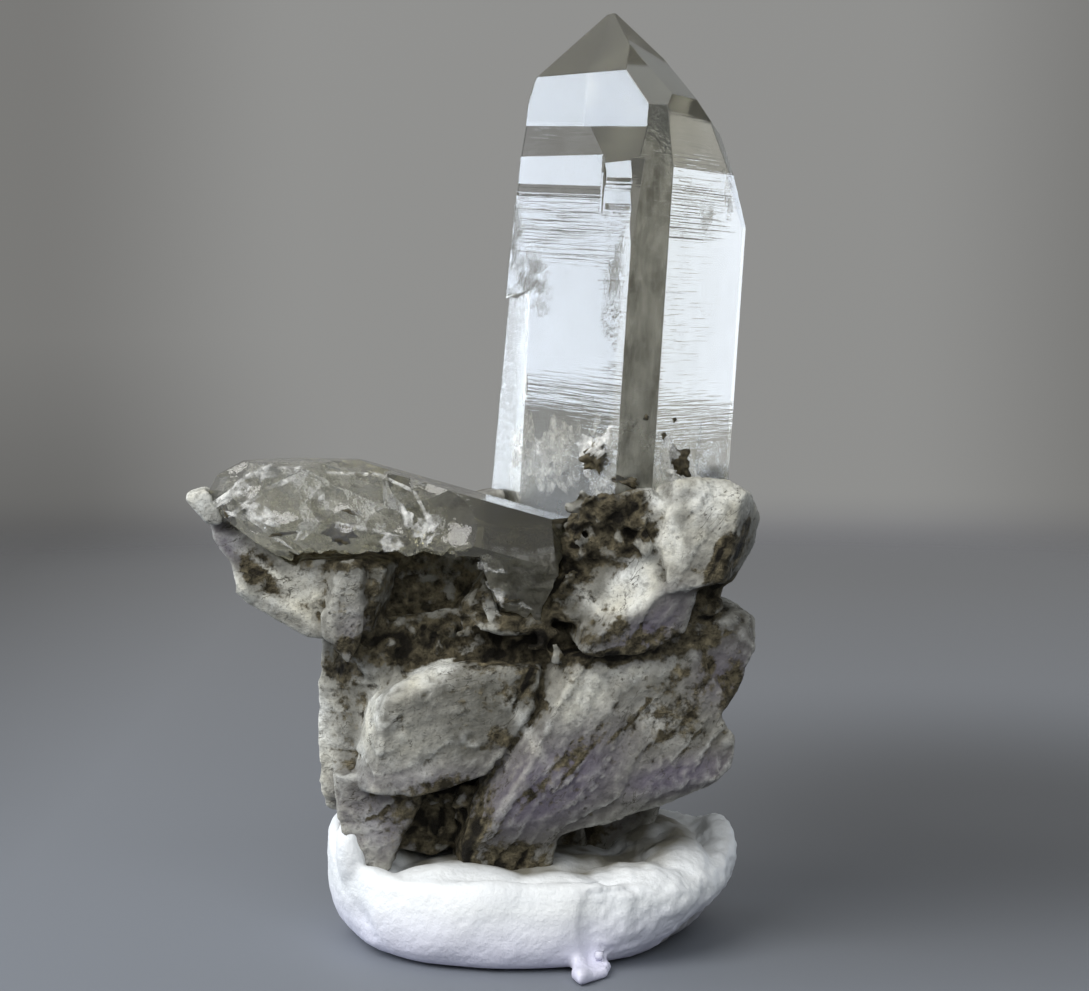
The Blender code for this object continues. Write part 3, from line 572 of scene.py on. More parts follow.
def looks_along(flat, outward):
    """True where a face looks one way."""
    return flat.normal.dot(outward) > SAME_FACE


def slice_flats(bm, point, normal, outward=None):
    """Slices the whole shape, or only its faces that look one way, along a plane."""
    flats = [flat for flat in bm.faces if outward is None or looks_along(flat, outward)]
    edges = {edge for flat in flats for edge in flat.edges}
    verts = {vert for flat in flats for vert in flat.verts}
    bmesh.ops.bisect_plane(
        bm, geom=list(verts) + list(edges) + flats, dist=1e-5, plane_co=point, plane_no=normal)


def add_masks(bm, **masks):
    """Paints masks on a piece's vertices, for its material."""
    for name, values in masks.items():
        layer = bm.verts.layers.float.new(name)
        for vert, value in zip(bm.verts, values):
            vert[layer] = float(value)


def ledge_depth(beside, height):
    """How far a point of the tall crystal's left face is sunk by its growth ledges."""
    for near, far, low, high in CRYSTAL_LEDGES:
        if near - 1e-4 < beside < far + 1e-4 and low < height < high + 1e-4:
            return (height - low) * STRIATION_SLOPE
    return 0.0


def level_face(bm, outward):
    """Brings all corners of the large faces that look one way into one plane, so that none is bent."""
    for flat in bm.faces:
        if looks_along(flat, outward) and flat.calc_area() > 100.0:
            level = max(vert.co.dot(outward) for vert in flat.verts)
            for vert in flat.verts:
                vert.co += (level - vert.co.dot(outward)) * outward


def cut_ledges(bm, frame_of, outward):
    """Slices the left face along its ledges and their small returns."""
    for near, far, low, high in CRYSTAL_LEDGES:
        for level in (low, high, high + STRIATION_RETURN):
            slice_flats(bm, frame_of.centre + level * frame_of.axis, frame_of.axis, outward)
        for beside in (near - STRIATION_RETURN, near, far, far + STRIATION_RETURN):
            slice_flats(bm, frame_of.centre + beside * frame_of.side, frame_of.side, outward)


def main_crystal_mesh():
    """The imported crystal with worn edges, growth ledges and fine striations on its bright faces."""
    frame_of = main_crystal_frame()
    draw = random.Random(31)
    bm = node_copy("main_quartz_crystal")
    bmesh.ops.dissolve_limit(bm, angle_limit=math.radians(0.4), verts=bm.verts, edges=bm.edges)
    right = frame_of.outward(MAIN_FACES["right"])
    tilted = math.cos(RIGHT_TOP_TILT) * right + math.sin(RIGHT_TOP_TILT) * frame_of.axis
    top_edge = frame_of.centre + RIGHT_TOP_OUT * right + RIGHT_TOP_HEIGHT * frame_of.axis
    cut_away(bm, top_edge, tilted)
    sharp = [edge for edge in bm.edges if edge.calc_face_angle(0.0) > math.radians(20)]
    chamfer(bm, sharp, CRYSTAL_CHAMFER)
    outwards = {face: frame_of.outward(MAIN_FACES[face]) for face in ("left", "right")}
    level_face(bm, outwards["left"])
    crests = {}
    height = -4.0
    while height < 33.0:
        pitch = draw.uniform(0.18, 0.34)
        crest = height + pitch - STRIATION_RETURN
        crests[round(crest, 3)] = (pitch * draw.uniform(0.5, 1.1), draw.uniform(0.36, 1.0))
        for level in (height + 0.55 * pitch, crest, crest + STRIATION_RETURN):
            for outward in outwards.values():
                slice_flats(bm, frame_of.centre + level * frame_of.axis, frame_of.axis, outward)
        height += pitch
    for outward in outwards.values():
        along = outward.cross(frame_of.axis)
        places = [vert.co.dot(along) for flat in bm.faces if looks_along(flat, outward)
                  for vert in flat.verts]
        low, high = min(places), max(places)
        place = low + draw.uniform(0.2, 0.5)
        while place < high:
            slice_flats(bm, place * along, along, outward)
            place += draw.uniform(0.35, 0.9)
    cut_ledges(bm, frame_of, outwards["left"])
    bm.normal_update()
    moves = []
    for vert in bm.verts:
        height = frame_of.height(vert.co)
        beside = (vert.co - frame_of.centre).dot(frame_of.side)
        sunk = ledge_depth(beside, height)
        if sunk > 0.0 and all(looks_along(flat, outwards["left"]) for flat in vert.link_faces):
            moves.append((vert, -sunk * outwards["left"]))
            continue
        crest = crests.get(round(height, 3))
        if crest is None:
            continue
        pitch, chance = crest
        for outward in outwards.values():
            if all(looks_along(flat, outward) for flat in vert.link_faces):
                share = patch_sum(CRYSTAL_PATCHES["striped"], beside, height)
                wander = 0.2 * noise.noise(Vector((2.2 * height, beside / 1.6, 9.0)))
                present = clamped((0.9 * share + wander - chance) * 3.0)
                moves.append((vert, -present * STRIATION_SLOPE * 0.45 * pitch * outward))
    for vert, move in moves:
        vert.co += move
    paint_crystal(bm, frame_of)
    return bm


def paint_crystal(bm, frame_of):
    """Masks for striped and etched areas, the milky foot, the termination and the front face's painted
    shade.
    """
    striped, etched, milky, blunt, smoky = [], [], [], [], []
    front = frame_of.outward(MAIN_FACES["front"])
    for vert in bm.verts:
        # The faces that look to the front get painted shade
        smoky.append(1.0 if any(flat.normal.dot(front) > 0.995 for flat in vert.link_faces) else 0.0)
        height = frame_of.height(vert.co)
        beside = (vert.co - frame_of.centre).dot(frame_of.side)
        striped.append(min(1.0, 0.06 + patch_sum(CRYSTAL_PATCHES["striped"], beside, height)))
        ragged = 0.75 + 1.3 * noise.noise(vert.co / 1.3)
        rough = ragged * patch_sum(CRYSTAL_PATCHES["etched"], beside, height)
        etched.append(min(1.0, rough + 0.4 * smoky[-1]))
        milky.append(clamped((7.0 - height) / 7.0))
        blunt.append(1.0 if height > 33.5 and beside < 12 else 0.0)
    add_masks(bm, striped=striped, etched=etched, milky=milky, tip=blunt, smoky=smoky)


def scoop_bmesh(point, way, radius, depth):
    """A ball whose side grazes the surface at a point to a depth, for a shell-shaped break."""
    bm = bmesh.new()
    bmesh.ops.create_icosphere(bm, subdivisions=4, radius=radius)
    bmesh.ops.translate(bm, verts=bm.verts, vec=Vector(point) + (radius - depth) * way)
    return bm


def small_scoops(crystal):
    """Places, directions, radii and depths of small breaks all over the crystal's broken end."""
    draw = random.Random(8)
    frame_of = side_crystal_frame()
    tree = BVHTree.FromBMesh(crystal)
    breaks = []
    for _ in range(SMALL_SCOOPS):
        turn = math.radians(draw.uniform(-70.0, 75.0))
        way = math.cos(turn) * FRONT + math.sin(turn) * UP
        start = frame_of.centre + draw.uniform(-25.0, -6.5) * frame_of.axis + 30.0 * way
        place, normal, _, _ = tree.ray_cast(start, -way)
        size, depth = draw.uniform(1.8, 4.2), draw.uniform(0.30, 0.65)
        if place:
            breaks.append((place, normal, size, depth))
    return breaks


def ragged_block(low, high):
    """A block whose upper side is broken ground, to leave a ragged underside on the crystal."""
    bm = bmesh.new()
    bmesh.ops.create_grid(bm, x_segments=56, y_segments=40, size=0.5)
    low, high = Vector(low), Vector(high)
    for vert in bm.verts:
        vert.co.x = low.x + (vert.co.x + 0.5) * (high.x - low.x)
        vert.co.y = low.y + (vert.co.y + 0.5) * (high.y - low.y)
        rise = 0.7 * noise.noise(vert.co / 1.4) + 0.45 * noise.noise(vert.co / 0.6)
        vert.co.z = high.z + rise
    top = bm.faces[:]
    grown = bmesh.ops.extrude_face_region(bm, geom=top, use_keep_orig=True)
    for item in grown["geom"]:
        if isinstance(item, bmesh.types.BMVert):
            item.co.z = low.z
    bmesh.ops.recalc_face_normals(bm, faces=bm.faces)
    return bm


def side_crystal_mesh():
    """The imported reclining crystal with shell-shaped breaks and a ragged underside."""
    bm = node_copy("side_quartz_crystal")
    bmesh.ops.dissolve_limit(bm, angle_limit=math.radians(0.4), verts=bm.verts, edges=bm.edges)
    breaks = small_scoops(bm)
    body = new_object("reclining", bm)
    for point, angle, rise, radius, depth in SIDE_SCOOPS:
        breaks.append((point, compass(angle, rise), radius, depth))
    balls = [new_object("scoop", scoop_bmesh(*values)) for values in breaks]
    balls.append(new_object("notch", scoop_bmesh(WEDGE_NOTCH[0], UP, WEDGE_NOTCH[1], WEDGE_NOTCH[1])))
    balls += [new_object("ragged", ragged_block(low, high)) for low, high in RAGGED_BLOCKS]
    for ball in balls:
        subtract(body, ball)
    bm = bmesh_from(body)
    remove_objects(body, *balls)
    bmesh.ops.remove_doubles(bm, verts=bm.verts, dist=0.004)
    bmesh.ops.dissolve_degenerate(bm, edges=bm.edges, dist=0.003)
    for step in range(26):
        slice_flats(bm, Vector((-27.0 + 1.2 * step, 0.0, 0.0)), Vector((1.0, 0.0, 0.0)))
    for step in range(20):
        slice_flats(bm, Vector((0.0, 0.0, 29.0 + 0.6 * step)), UP)
        slice_flats(bm, Vector((-7.4 + 0.55 * step, 0.0, 0.0)), Vector((1.0, 0.0, 0.0)))
    bm.normal_update()
    for vert in bm.verts:
        low = clamped((35.2 - vert.co.z) / 1.6) * clamped((vert.co.x + 7.6) / 1.5)
        vert.co += 0.42 * low * noise.noise(vert.co / 1.1) * vert.normal
    bm.normal_update()
    for edge in bm.edges:
        edge.smooth = edge.calc_face_angle(0.0) < math.radians(14)
    frame_of = side_crystal_frame()
    broken, stained, deep = [], [], []
    for vert in bm.verts:
        along = (vert.co - frame_of.centre).dot(frame_of.axis)
        broken.append(clamped((-4.6 - along - 1.4 * noise.noise(vert.co / 2.5)) / 2.0))
        low = clamped((35.4 - vert.co.z + 1.2 * noise.noise(vert.co / 1.6)) / 2.0)
        stained.append(low * clamped((along + 6.0) / 3.0))
        deep.append(clamped((along + 17.0) / 15.0))
    add_masks(bm, broken=broken, stained=stained, deep=deep)
    return bm


def slab_bmesh(name):
    """One feldspar slab, its outline drawn on its outer face, turned and nodded, then cut by its facets."""
    outline, outer, inner, turn, nod = FELDSPAR_SLABS[name]
    middle_x = sum(x for x, z in outline) / len(outline)
    middle_z = sum(z for x, z in outline) / len(outline)
    bm = bmesh.new()
    rim = [bm.verts.new((x - middle_x, 0.0, z - middle_z)) for x, z in outline]
    drawn = bm.faces.new(rim)
    grown = bmesh.ops.extrude_face_region(bm, geom=[drawn], use_keep_orig=True)
    moved = [item for item in grown["geom"] if isinstance(item, bmesh.types.BMVert)]
    bmesh.ops.translate(bm, verts=moved, vec=(0.0, inner - outer, 0.0))
    bmesh.ops.recalc_face_normals(bm, faces=bm.faces)
    turned = Matrix.Rotation(math.radians(turn), 4, "Z") @ Matrix.Rotation(math.radians(nod), 4, "X")
    bm.transform(Matrix.Translation((middle_x, outer, middle_z)) @ turned)
    for angle, rise, point in FELDSPAR_FACETS.get(name, ()):
        cut_away(bm, Vector(point), compass(angle, rise))
    chamfer(bm, bm.edges[:], ROCK_CHAMFER)
    return bm


def rock_lumps(side_tree):
    """Small angular lumps that are grown on the rock, clear of the reclining crystal."""
    draw = random.Random(12)
    bm = bmesh.new()
    for across, up, half_width, half_height, near, far, small, large, count in ROCK_LUMPS:
        for _ in range(count):
            place = Vector((
                across + draw.uniform(-half_width, half_width), draw.uniform(near, far),
                up + draw.uniform(-half_height, half_height)))
            size = draw.uniform(small, large)
            turn = Matrix.Rotation(draw.uniform(0.0, 6.28), 4, "Y")
            turn = turn @ Matrix.Rotation(draw.uniform(0, 3.1), 4, "X")
            scales = (size * draw.uniform(0.8, 1.7), size, size * draw.uniform(0.55, 0.9))
            swells = [draw.uniform(0.75, 1.25) for _ in range(12)]
            surface, normal, _, distance = side_tree.find_nearest(place)
            if distance < 1.7 * size or (place - surface).dot(normal) < 0.0:
                continue
            lump = bmesh.ops.create_icosphere(bm, subdivisions=1, radius=1.0)["verts"]
            for vert, swell in zip(lump, swells):
                vert.co *= swell
            bmesh.ops.scale(bm, verts=lump, vec=scales)
            bmesh.ops.transform(bm, matrix=Matrix.Translation(place) @ turn, verts=lump)
    return bm


def on_right(point):
    """True where a point belongs to the stack of slabs right of the crevice."""
    return point.x > CREVICE_FOOT + CREVICE_SLANT * point.z


def rock_relief(point):
    """Height of the rock's fine surface: lumps, streaks, cleavage ledges, rubble and pits."""
    grain = RIGHT_GRAIN if on_right(point) else LEFT_GRAIN
    across = Vector((grain.z, 0.0, -grain.x))
    lumps = 0.16 * noise.noise(point / 3.4)
    lumps += 0.10 * noise.noise(point / 1.5 + Vector((7.0, 3.0, 1.0)))
    lumps += 0.08 * noise.noise(point / 0.75 + Vector((1.0, 5.0, 9.0)))
    along = point.dot(grain) * grain
    streaks = 0.10 * noise.noise((point - along) / 1.5 + along / 8.0)
    streaks += 0.06 * noise.noise((point - along) / 0.7 + along / 4.0)
    ledge = point.dot(across) / 2.3 + 0.25 * point.y + 0.9 * noise.noise(point / 5.0)
    ledges = 0.24 * ((ledge % 1.0) - 0.5) * (0.5 + noise.noise(point / 4.0 + Vector((3.0, 8.0, 2.0))))
    cluster = max(0.0, noise.noise(point / 3.0 + Vector((5.0, 1.0, 4.0))) + 0.2)
    near = noise.voronoi(point / 1.15)[0][0]
    pits = -1.1 * cluster * max(0.0, 0.42 - near)
    rubble = patch_sum(ROCK_PATCHES["rubble"], point.x, point.z) if point.y < -3.0 else 0.0
    crumbs = 0.0
    if rubble > 0.02:
        crumbs = 0.6 * noise.noise(point / 1.5 + Vector((2.0, 9.0, 3.0)))
        crumbs += 0.4 * (0.45 - noise.voronoi(point / 1.1)[0][0])
    calm = 0.6 if point.x < -13.0 and point.z > 26.5 else 1.0
    if point.y < -3.0:
        calm *= 1.0 - 0.75 * clamped(patch_sum(ROCK_PATCHES["pale"], point.x, point.z) - 0.8)
    return calm * (lumps + streaks + ledges + pits) + rubble * crumbs


def signed_distance(points, planes):
    """How far points lie outside a convex solid, and the normal of the nearest plane."""
    normals, offsets = planes
    gaps = points @ normals.T - offsets
    nearest = np.argmax(gaps, axis=1)
    return gaps[np.arange(len(points)), nearest], normals[nearest]


def rock_mesh():
    """Slabs grown together, cut by the crystals' seats, with a fine weathered surface."""
    main_seat = hull_bmesh("main_quartz_crystal", SEAT_GAP)
    seat_planes = hull_planes(main_seat)
    side_seat = swollen_copy("side_quartz_crystal", SEAT_GAP)
    cut_away(side_seat, Vector((0.0, 0.0, WEDGE_END)), -UP)
    bmesh.ops.triangulate(side_seat, faces=side_seat.faces)
    joined = rock_lumps(BVHTree.FromBMesh(side_seat))
    cutters = [new_object("main_seat", main_seat), new_object("side_seat", side_seat)]
    notch = new_object(
        "notch", scoop_bmesh(WEDGE_NOTCH[0], UP, WEDGE_NOTCH[1] - SEAT_GAP, WEDGE_NOTCH[1] - SEAT_GAP))
    subtract(cutters[1], notch)
    for name in FELDSPAR_SLABS:
        slab = new_object(name, slab_bmesh(name))
        for cutter in cutters:
            subtract(slab, cutter)
        piece = bmesh_from(slab)
        mesh = bpy.data.meshes.new(name)
        piece.to_mesh(mesh)
        piece.free()
        joined.from_mesh(mesh)
        bpy.data.meshes.remove(mesh)
        remove_objects(slab)
    remove_objects(*cutters, notch)
    bm = voxel_skin("rock", joined, ROCK_VOXEL)
    bm.normal_update()
    moves = [rock_relief(vert.co) * vert.normal for vert in bm.verts]
    for vert, move in zip(bm.verts, moves):
        vert.co += move
    points = np.array([vert.co for vert in bm.verts])
    gaps, normals = signed_distance(points, seat_planes)
    points -= np.minimum(gaps, 0.0)[:, None] * normals
    for vert, point in zip(bm.verts, points):
        vert.co = point
    return bm


def neighbour_mean(values, edges, count):
    """The mean of each vertex's neighbours."""
    total = np.zeros_like(values)
    np.add.at(total, edges[:, 0], values[edges[:, 1]])
    np.add.at(total, edges[:, 1], values[edges[:, 0]])
    return total / count[:, None]


def hollow_mask(bm, rounds, span):
    """How far each vertex lies below the smoothed surface, 1 at the given depth."""
    bm.normal_update()
    bm.verts.index_update()
    points = np.array([vert.co for vert in bm.verts])
    normals = np.array([vert.normal for vert in bm.verts])
    edges = np.array([[edge.verts[0].index, edge.verts[1].index] for edge in bm.edges])
    count = np.bincount(edges.ravel(), minlength=len(points)).astype(float)
    smooth = points.copy()
    for _ in range(rounds):
        smooth = 0.5 * (smooth + neighbour_mean(smooth, edges, count))
    depth = np.einsum("ij,ij->i", smooth - points, normals)
    return np.clip(depth / span, -1.0, 1.0)


def paint_rock(bm):
    """Masks for dirt with painted shade in hollows and crevices, pale stone with painted highlights on
    ridges and lit facets, and painted lilac shade, laid on the rock's front from the listed patches and on
    its back by chance.
    """
    fine = hollow_mask(bm, 6, 0.10)
    broad = hollow_mask(bm, 60, 0.7)
    dirt, pale, lilac, right = [], [], [], []
    for number, vert in enumerate(bm.verts):
        point = vert.co
        front = clamped((-1.0 - point.y) / 4.0)
        chance = noise.noise(point / 5.0) + 0.5 * noise.noise(point / 2.0)
        behind = max(0.0, 0.9 * chance)
        ragged = 1.0 + 1.1 * noise.noise(point / 1.3)
        spot = front * patch_sum(ROCK_PATCHES["dirt"], point.x, point.z) * ragged + (1.0 - front) * behind
        # Painted shade: darker in hollows, by how deep each point lies under the smoothed surface
        hollow = 0.7 * max(0.0, fine[number]) + 0.8 * max(0.0, broad[number])
        # Painted highlight: lighter on ridges where there is no dirt
        ridge = max(0.0, -0.45 * fine[number]) * (1.0 - min(1.0, spot))
        light = front * patch_sum(ROCK_PATCHES["pale"], point.x, point.z) * (0.4 + 0.6 * ragged)
        clean = 1.0 - clamped(1.6 * light - 0.9)
        dirt.append(clean * min(2.0, spot + hollow * (0.45 + 0.5 * min(1.0, spot))))
        pale.append(min(1.0, light + (1.0 - front) * max(0.0, -0.6 * chance) + ridge))
        # Painted lilac shade on the front; on the back a lilac tint at random
        tint = front * patch_sum(ROCK_PATCHES["lilac"], point.x, point.z)
        lilac.append(tint + (1.0 - front) * max(0.0, 0.8 * noise.noise(point / 7.0)))
        right.append(1.0 if on_right(point) else 0.0)
    add_masks(bm, dirt=dirt, pale=pale, lilac=lilac, right=right)


def putty_mesh():
    """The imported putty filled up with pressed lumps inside, resampled finely, with dents and folds."""
    bm = node_copy("putty_base")
    for x, y, z, width, depth, height in PUTTY_LUMPS:
        lump = bmesh.ops.create_icosphere(bm, subdivisions=3, radius=1.0)["verts"]
        bmesh.ops.scale(bm, verts=lump, vec=(width, depth, height))
        bmesh.ops.translate(bm, verts=lump, vec=(x, y, z))
    bm = voxel_skin("putty", bm, PUTTY_VOXEL)
    for _ in range(3):
        bmesh.ops.smooth_vert(
            bm, verts=bm.verts, factor=0.5, use_axis_x=True, use_axis_y=True, use_axis_z=True)
    bm.normal_update()
    for vert in bm.verts:
        lift = clamped(vert.co.z / 1.2)
        rough = 0.3 + 0.7 * clamped((vert.co.x - 2.0) / 5.0)
        bump = 0.36 * noise.noise(vert.co / 4.2) + 0.24 * rough * noise.noise(vert.co / 1.5)
        bump += 0.13 * rough * noise.noise(vert.co / 0.6)
        if vert.co.y < -8.0 and vert.co.z < 7.0:
            beyond = vert.co.x - 3.9 - 0.10 * (vert.co.z - 4.0) ** 2
            bump -= 0.50 / (1.0 + math.exp(-beyond / 0.18)) * math.exp(-(max(0.0, beyond) / 3.0) ** 2)
            crease = math.exp(-((vert.co.x + 14.0 + 0.5 * (vert.co.z - 2.6)) / 0.8) ** 2)
            bump -= 0.35 * crease * math.exp(-((vert.co.z - 3.0) / 1.6) ** 2)
        vert.co += lift * bump * vert.normal
    # Dirt, and painted shade, inside the ring and low down in the hollow
    soiled = []
    for vert in bm.verts:
        from_middle = ((vert.co.x - 1.0) / 15.5) ** 2 + ((vert.co.y + 0.5) / 12.0) ** 2
        inside = clamped((1.0 - from_middle) * 2.6)
        low = clamped((12.6 - vert.co.z) / 3.0)
        soiled.append(inside * low * (0.75 + 0.8 * noise.noise(vert.co / 2.0)))
    add_masks(bm, soiled=soiled)
    return bm


def veil_mesh(size, turn, ruggedness, seed):
    """A thin closed sheet or lump for a healed crack or an inclusion, made about the origin."""
    bm = bmesh.new()
    bmesh.ops.create_icosphere(bm, subdivisions=4, radius=1.0)
    shift = Vector((seed * 3.7, seed * 1.9, seed * 5.3))
    for vert in bm.verts:
        vert.co += ruggedness * noise.noise(1.4 * vert.co + shift) * vert.co
        vert.co += 0.5 * ruggedness * noise.noise(3.4 * vert.co + shift) * vert.co
    bmesh.ops.scale(bm, verts=bm.verts, vec=size)
    tilted = Matrix.Rotation(math.radians(turn[1]), 4, "Y")
    bm.transform(Matrix.Rotation(math.radians(turn[0]), 4, "Z") @ tilted)
    return bm


class Look:
    """A node tree, with short ways to add to it."""

    def __init__(self, tree):
        self.nodes = tree.nodes
        self.links = tree.links

    def feed(self, socket, value):
        """Gives a socket another node's output, a plain colour or a plain value."""
        if isinstance(value, bpy.types.NodeSocket):
            self.links.new(value, socket)
        elif socket.type == "RGBA":
            socket.default_value = (*value, 1.0)
        else:
            socket.default_value = value

    def add(self, kind, inputs=None, **settings):
        node = self.nodes.new(kind)
        for name, value in settings.items():
            setattr(node, name, value)
        for name, value in (inputs or {}).items():
            self.feed(node.inputs[name], value)
        return node

    def put(self, name, value):
        """Sets an input of the material's own shader."""
        self.feed(self.nodes["Principled BSDF"].inputs[name], value)

    def place(self, kind="Object"):
        return self.add("ShaderNodeTexCoord").outputs[kind]

    def painted(self, name):
        """A mask that is painted on the piece's vertices."""
        return self.add("ShaderNodeAttribute", attribute_name=name).outputs["Fac"]

    def between(self, value, low, high, to_low=0.0, to_high=1.0, curve="LINEAR"):
        limits = {"Value": value, "From Min": low, "From Max": high, "To Min": to_low, "To Max": to_high}
        return self.add("ShaderNodeMapRange", limits, interpolation_type=curve).outputs["Result"]

    def mix(self, factor, first, second, kind="RGBA"):
        sides = {"Factor": factor, "A": first, "B": second}
        return self.add("ShaderNodeMix", sides, data_type=kind, clamp_factor=True).outputs["Result"]

    def maths(self, operation, first, second, held=False):
        node = self.add("ShaderNodeMath", {0: first, 1: second}, operation=operation, use_clamp=held)
        return node.outputs["Value"]

    def sum(self, first, second):
        return self.maths("ADD", first, second, held=True)

    def product(self, first, second):
        return self.maths("MULTIPLY", first, second, held=True)

    def difference(self, first, second):
        return self.maths("SUBTRACT", first, second)

    def apart(self, first, second):
        """How far two values are from each other."""
        return self.maths("ABSOLUTE", self.difference(first, second), 0.0)

    def bump(self, height, distance, strength=1.0, under=None):
        inputs = {"Height": height, "Distance": distance, "Strength": strength}
        if under:
            inputs["Normal"] = under
        return self.add("ShaderNodeBump", inputs).outputs["Normal"]

    def noise(self, scale, detail, low, high, stretch=(1.0, 1.0, 1.0), turn=0.0):
        """The shared noise mask, with this material's own values."""
        values = {
            "Scale": scale, "Detail": detail, "Low": low, "High": high, "Stretch": stretch, "Turn": turn}
        shared = bpy.data.node_groups[NOISE_GROUP]
        return self.add("ShaderNodeGroup", values, node_tree=shared).outputs["Mask"]


def make_noise_group():
    """Noise on a piece's own coordinates, turned about Y, stretched and cut to a mask between two values."""
    tree = bpy.data.node_groups.new(NOISE_GROUP, "ShaderNodeTree")
    for name in ("Scale", "Detail", "Low", "High", "Turn"):
        tree.interface.new_socket(name, in_out="INPUT", socket_type="NodeSocketFloat")
    tree.interface.new_socket("Stretch", in_out="INPUT", socket_type="NodeSocketVector")
    tree.interface.new_socket("Mask", in_out="OUTPUT", socket_type="NodeSocketFloat")
    look = Look(tree)
    given = look.add("NodeGroupInput").outputs
    turned = look.add(
        "ShaderNodeVectorRotate", {"Vector": look.place(), "Angle": given["Turn"]}, rotation_type="Y_AXIS")
    stretched = look.add(
        "ShaderNodeMapping", {"Vector": turned.outputs["Vector"], "Scale": given["Stretch"]})
    texture = look.add("ShaderNodeTexNoise", {
        "Vector": stretched.outputs["Vector"], "Scale": given["Scale"], "Detail": given["Detail"],
        "Roughness": 0.6})
    mask = look.between(texture.outputs["Fac"], given["Low"], given["High"])
    look.feed(look.add("NodeGroupOutput").inputs["Mask"], mask)


def new_material(name):
    material = bpy.data.materials.new(name)
    material.use_nodes = True
    return material, Look(material.node_tree)


def quartz_material(name, tint, transmission, absorbed, density):
    """A clear or cloudy quartz: see-through, with a plain absorption inside."""
    material, look = new_material(name)
    look.put("Base Color", tint)
    look.put("Transmission Weight", transmission)
    look.put("IOR", QUARTZ_IOR)
    inside = look.add("ShaderNodeVolumeAbsorption", {"Color": absorbed, "Density": density})
    look.feed(look.nodes["Material Output"].inputs["Volume"], inside.outputs["Volume"])
    return material, look


def clear_quartz_material():
    material, look = quartz_material("clear_quartz", (0.93, 0.93, 0.91), 0.97, (0.90, 0.895, 0.84), 90.0)
    lean = -MAIN_LEAN
    etched = look.painted("etched")
    tip = look.painted("tip")
    fine_lines = look.noise(1.0, 2.0, 0.25, 0.75, (110.0, 110.0, 4600.0), lean)
    broad_lines = look.noise(1.0, 1.0, 0.25, 0.75, (120.0, 120.0, 1300.0), lean)
    lines = look.bump(fine_lines, 0.000020, look.painted("striped"))
    lines = look.bump(broad_lines, 0.000004, 0.3, lines)
    mottle = look.noise(1900.0, 4.0, 0.3, 0.7)
    look.put("Normal", look.bump(mottle, 0.00009, etched, lines))
    # Painted shade on the front face, in streaks along the axis
    drawn_out = look.noise(1.0, 5.0, 0.34, 0.66, (900.0, 900.0, 300.0), lean)
    smoke = look.mix(drawn_out, (0.13, 0.125, 0.095), (0.64, 0.64, 0.58))
    clouded = look.noise(230.0, 5.0, 0.35, 0.65)
    body = look.mix(clouded, (0.84, 0.83, 0.79), (1.0, 1.0, 0.98))
    body = look.mix(tip, body, (1.0, 0.98, 0.90))
    look.put("Base Color", look.mix(look.painted("smoky"), body, smoke))
    cloudy = look.noise(500.0, 3.0, 0.4, 0.8)
    dull = look.sum(look.product(etched, 0.25), look.product(cloudy, 0.05))
    dull = look.sum(dull, look.product(look.painted("milky"), 0.25))
    look.put("Roughness", look.sum(dull, look.product(tip, 0.12)))
    return material


def smoky_quartz_material():
    material, look = quartz_material("smoky_quartz", (0.80, 0.80, 0.785), 0.90, (0.875, 0.87, 0.82), 480.0)
    broken = look.painted("broken")
    stained = look.painted("stained")
    cloud = look.noise(420.0, 5.0, 0.40, 0.66)
    crust = look.noise(900.0, 6.0, 0.36, 0.62)
    tone = look.mix(cloud, (0.74, 0.735, 0.69), (1.0, 1.0, 1.0))
    tone = look.mix(look.product(look.painted("deep"), 0.85), tone, (0.27, 0.26, 0.21))
    skin = look.mix(crust, (0.20, 0.18, 0.13), (0.68, 0.66, 0.58))
    look.put("Base Color", look.mix(stained, tone, skin))
    rough = look.sum(look.product(look.product(broken, cloud), 0.10), look.product(stained, 0.6))
    look.put("Roughness", look.sum(rough, 0.05))
    ripples = look.noise(700.0, 3.0, 0.3, 0.7)
    rippled = look.bump(ripples, 0.00005, broken)
    look.put("Normal", look.bump(crust, 0.0004, stained, rippled))
    return material


def veil_material(name, low, high, most):
    """A thin white sheet with gaps; the values set how much of it is left and how dense it is."""
    material, look = new_material(name)
    look.put("Base Color", (0.93, 0.93, 0.90))
    look.put("Roughness", 0.5)
    cover = look.product(look.noise(1300.0, 5.0, low, high), look.noise(420.0, 3.0, 0.34, 0.60))
    look.put("Alpha", look.product(cover, most))
    return material


def inclusion_material():
    material, look = new_material("brown_inclusion")
    spots = look.noise(1800.0, 3.0, 0.4, 0.65)
    look.put("Base Color", look.mix(spots, (0.035, 0.028, 0.015), (0.12, 0.10, 0.055)))
    look.put("Roughness", 0.7)
    return material


def crack_lines(look, turn):
    """Fine cracks that run with the grain, where a stretched noise crosses its middle, only in places."""
    waves = look.noise(1.0, 3.0, 0.0, 1.0, (330.0, 700.0, 900.0), turn)
    line = look.between(look.apart(waves, 0.5), 0.004, 0.016, 1.0, 0.0)
    return look.product(line, look.noise(330.0, 2.0, 0.52, 0.62))


def pit_dots(look):
    """Small dark pits in clusters."""
    cells = look.add("ShaderNodeTexVoronoi", {"Scale": 1500.0, "Vector": look.place()})
    dots = look.between(cells.outputs["Distance"], 0.16, 0.34, 1.0, 0.0)
    return look.product(dots, look.noise(420.0, 3.0, 0.58, 0.68))


def dust_specks(look):
    """Fine dark specks, thicker in some places."""
    return look.product(look.noise(3600.0, 3.0, 0.56, 0.66), look.noise(360.0, 3.0, 0.40, 0.62))


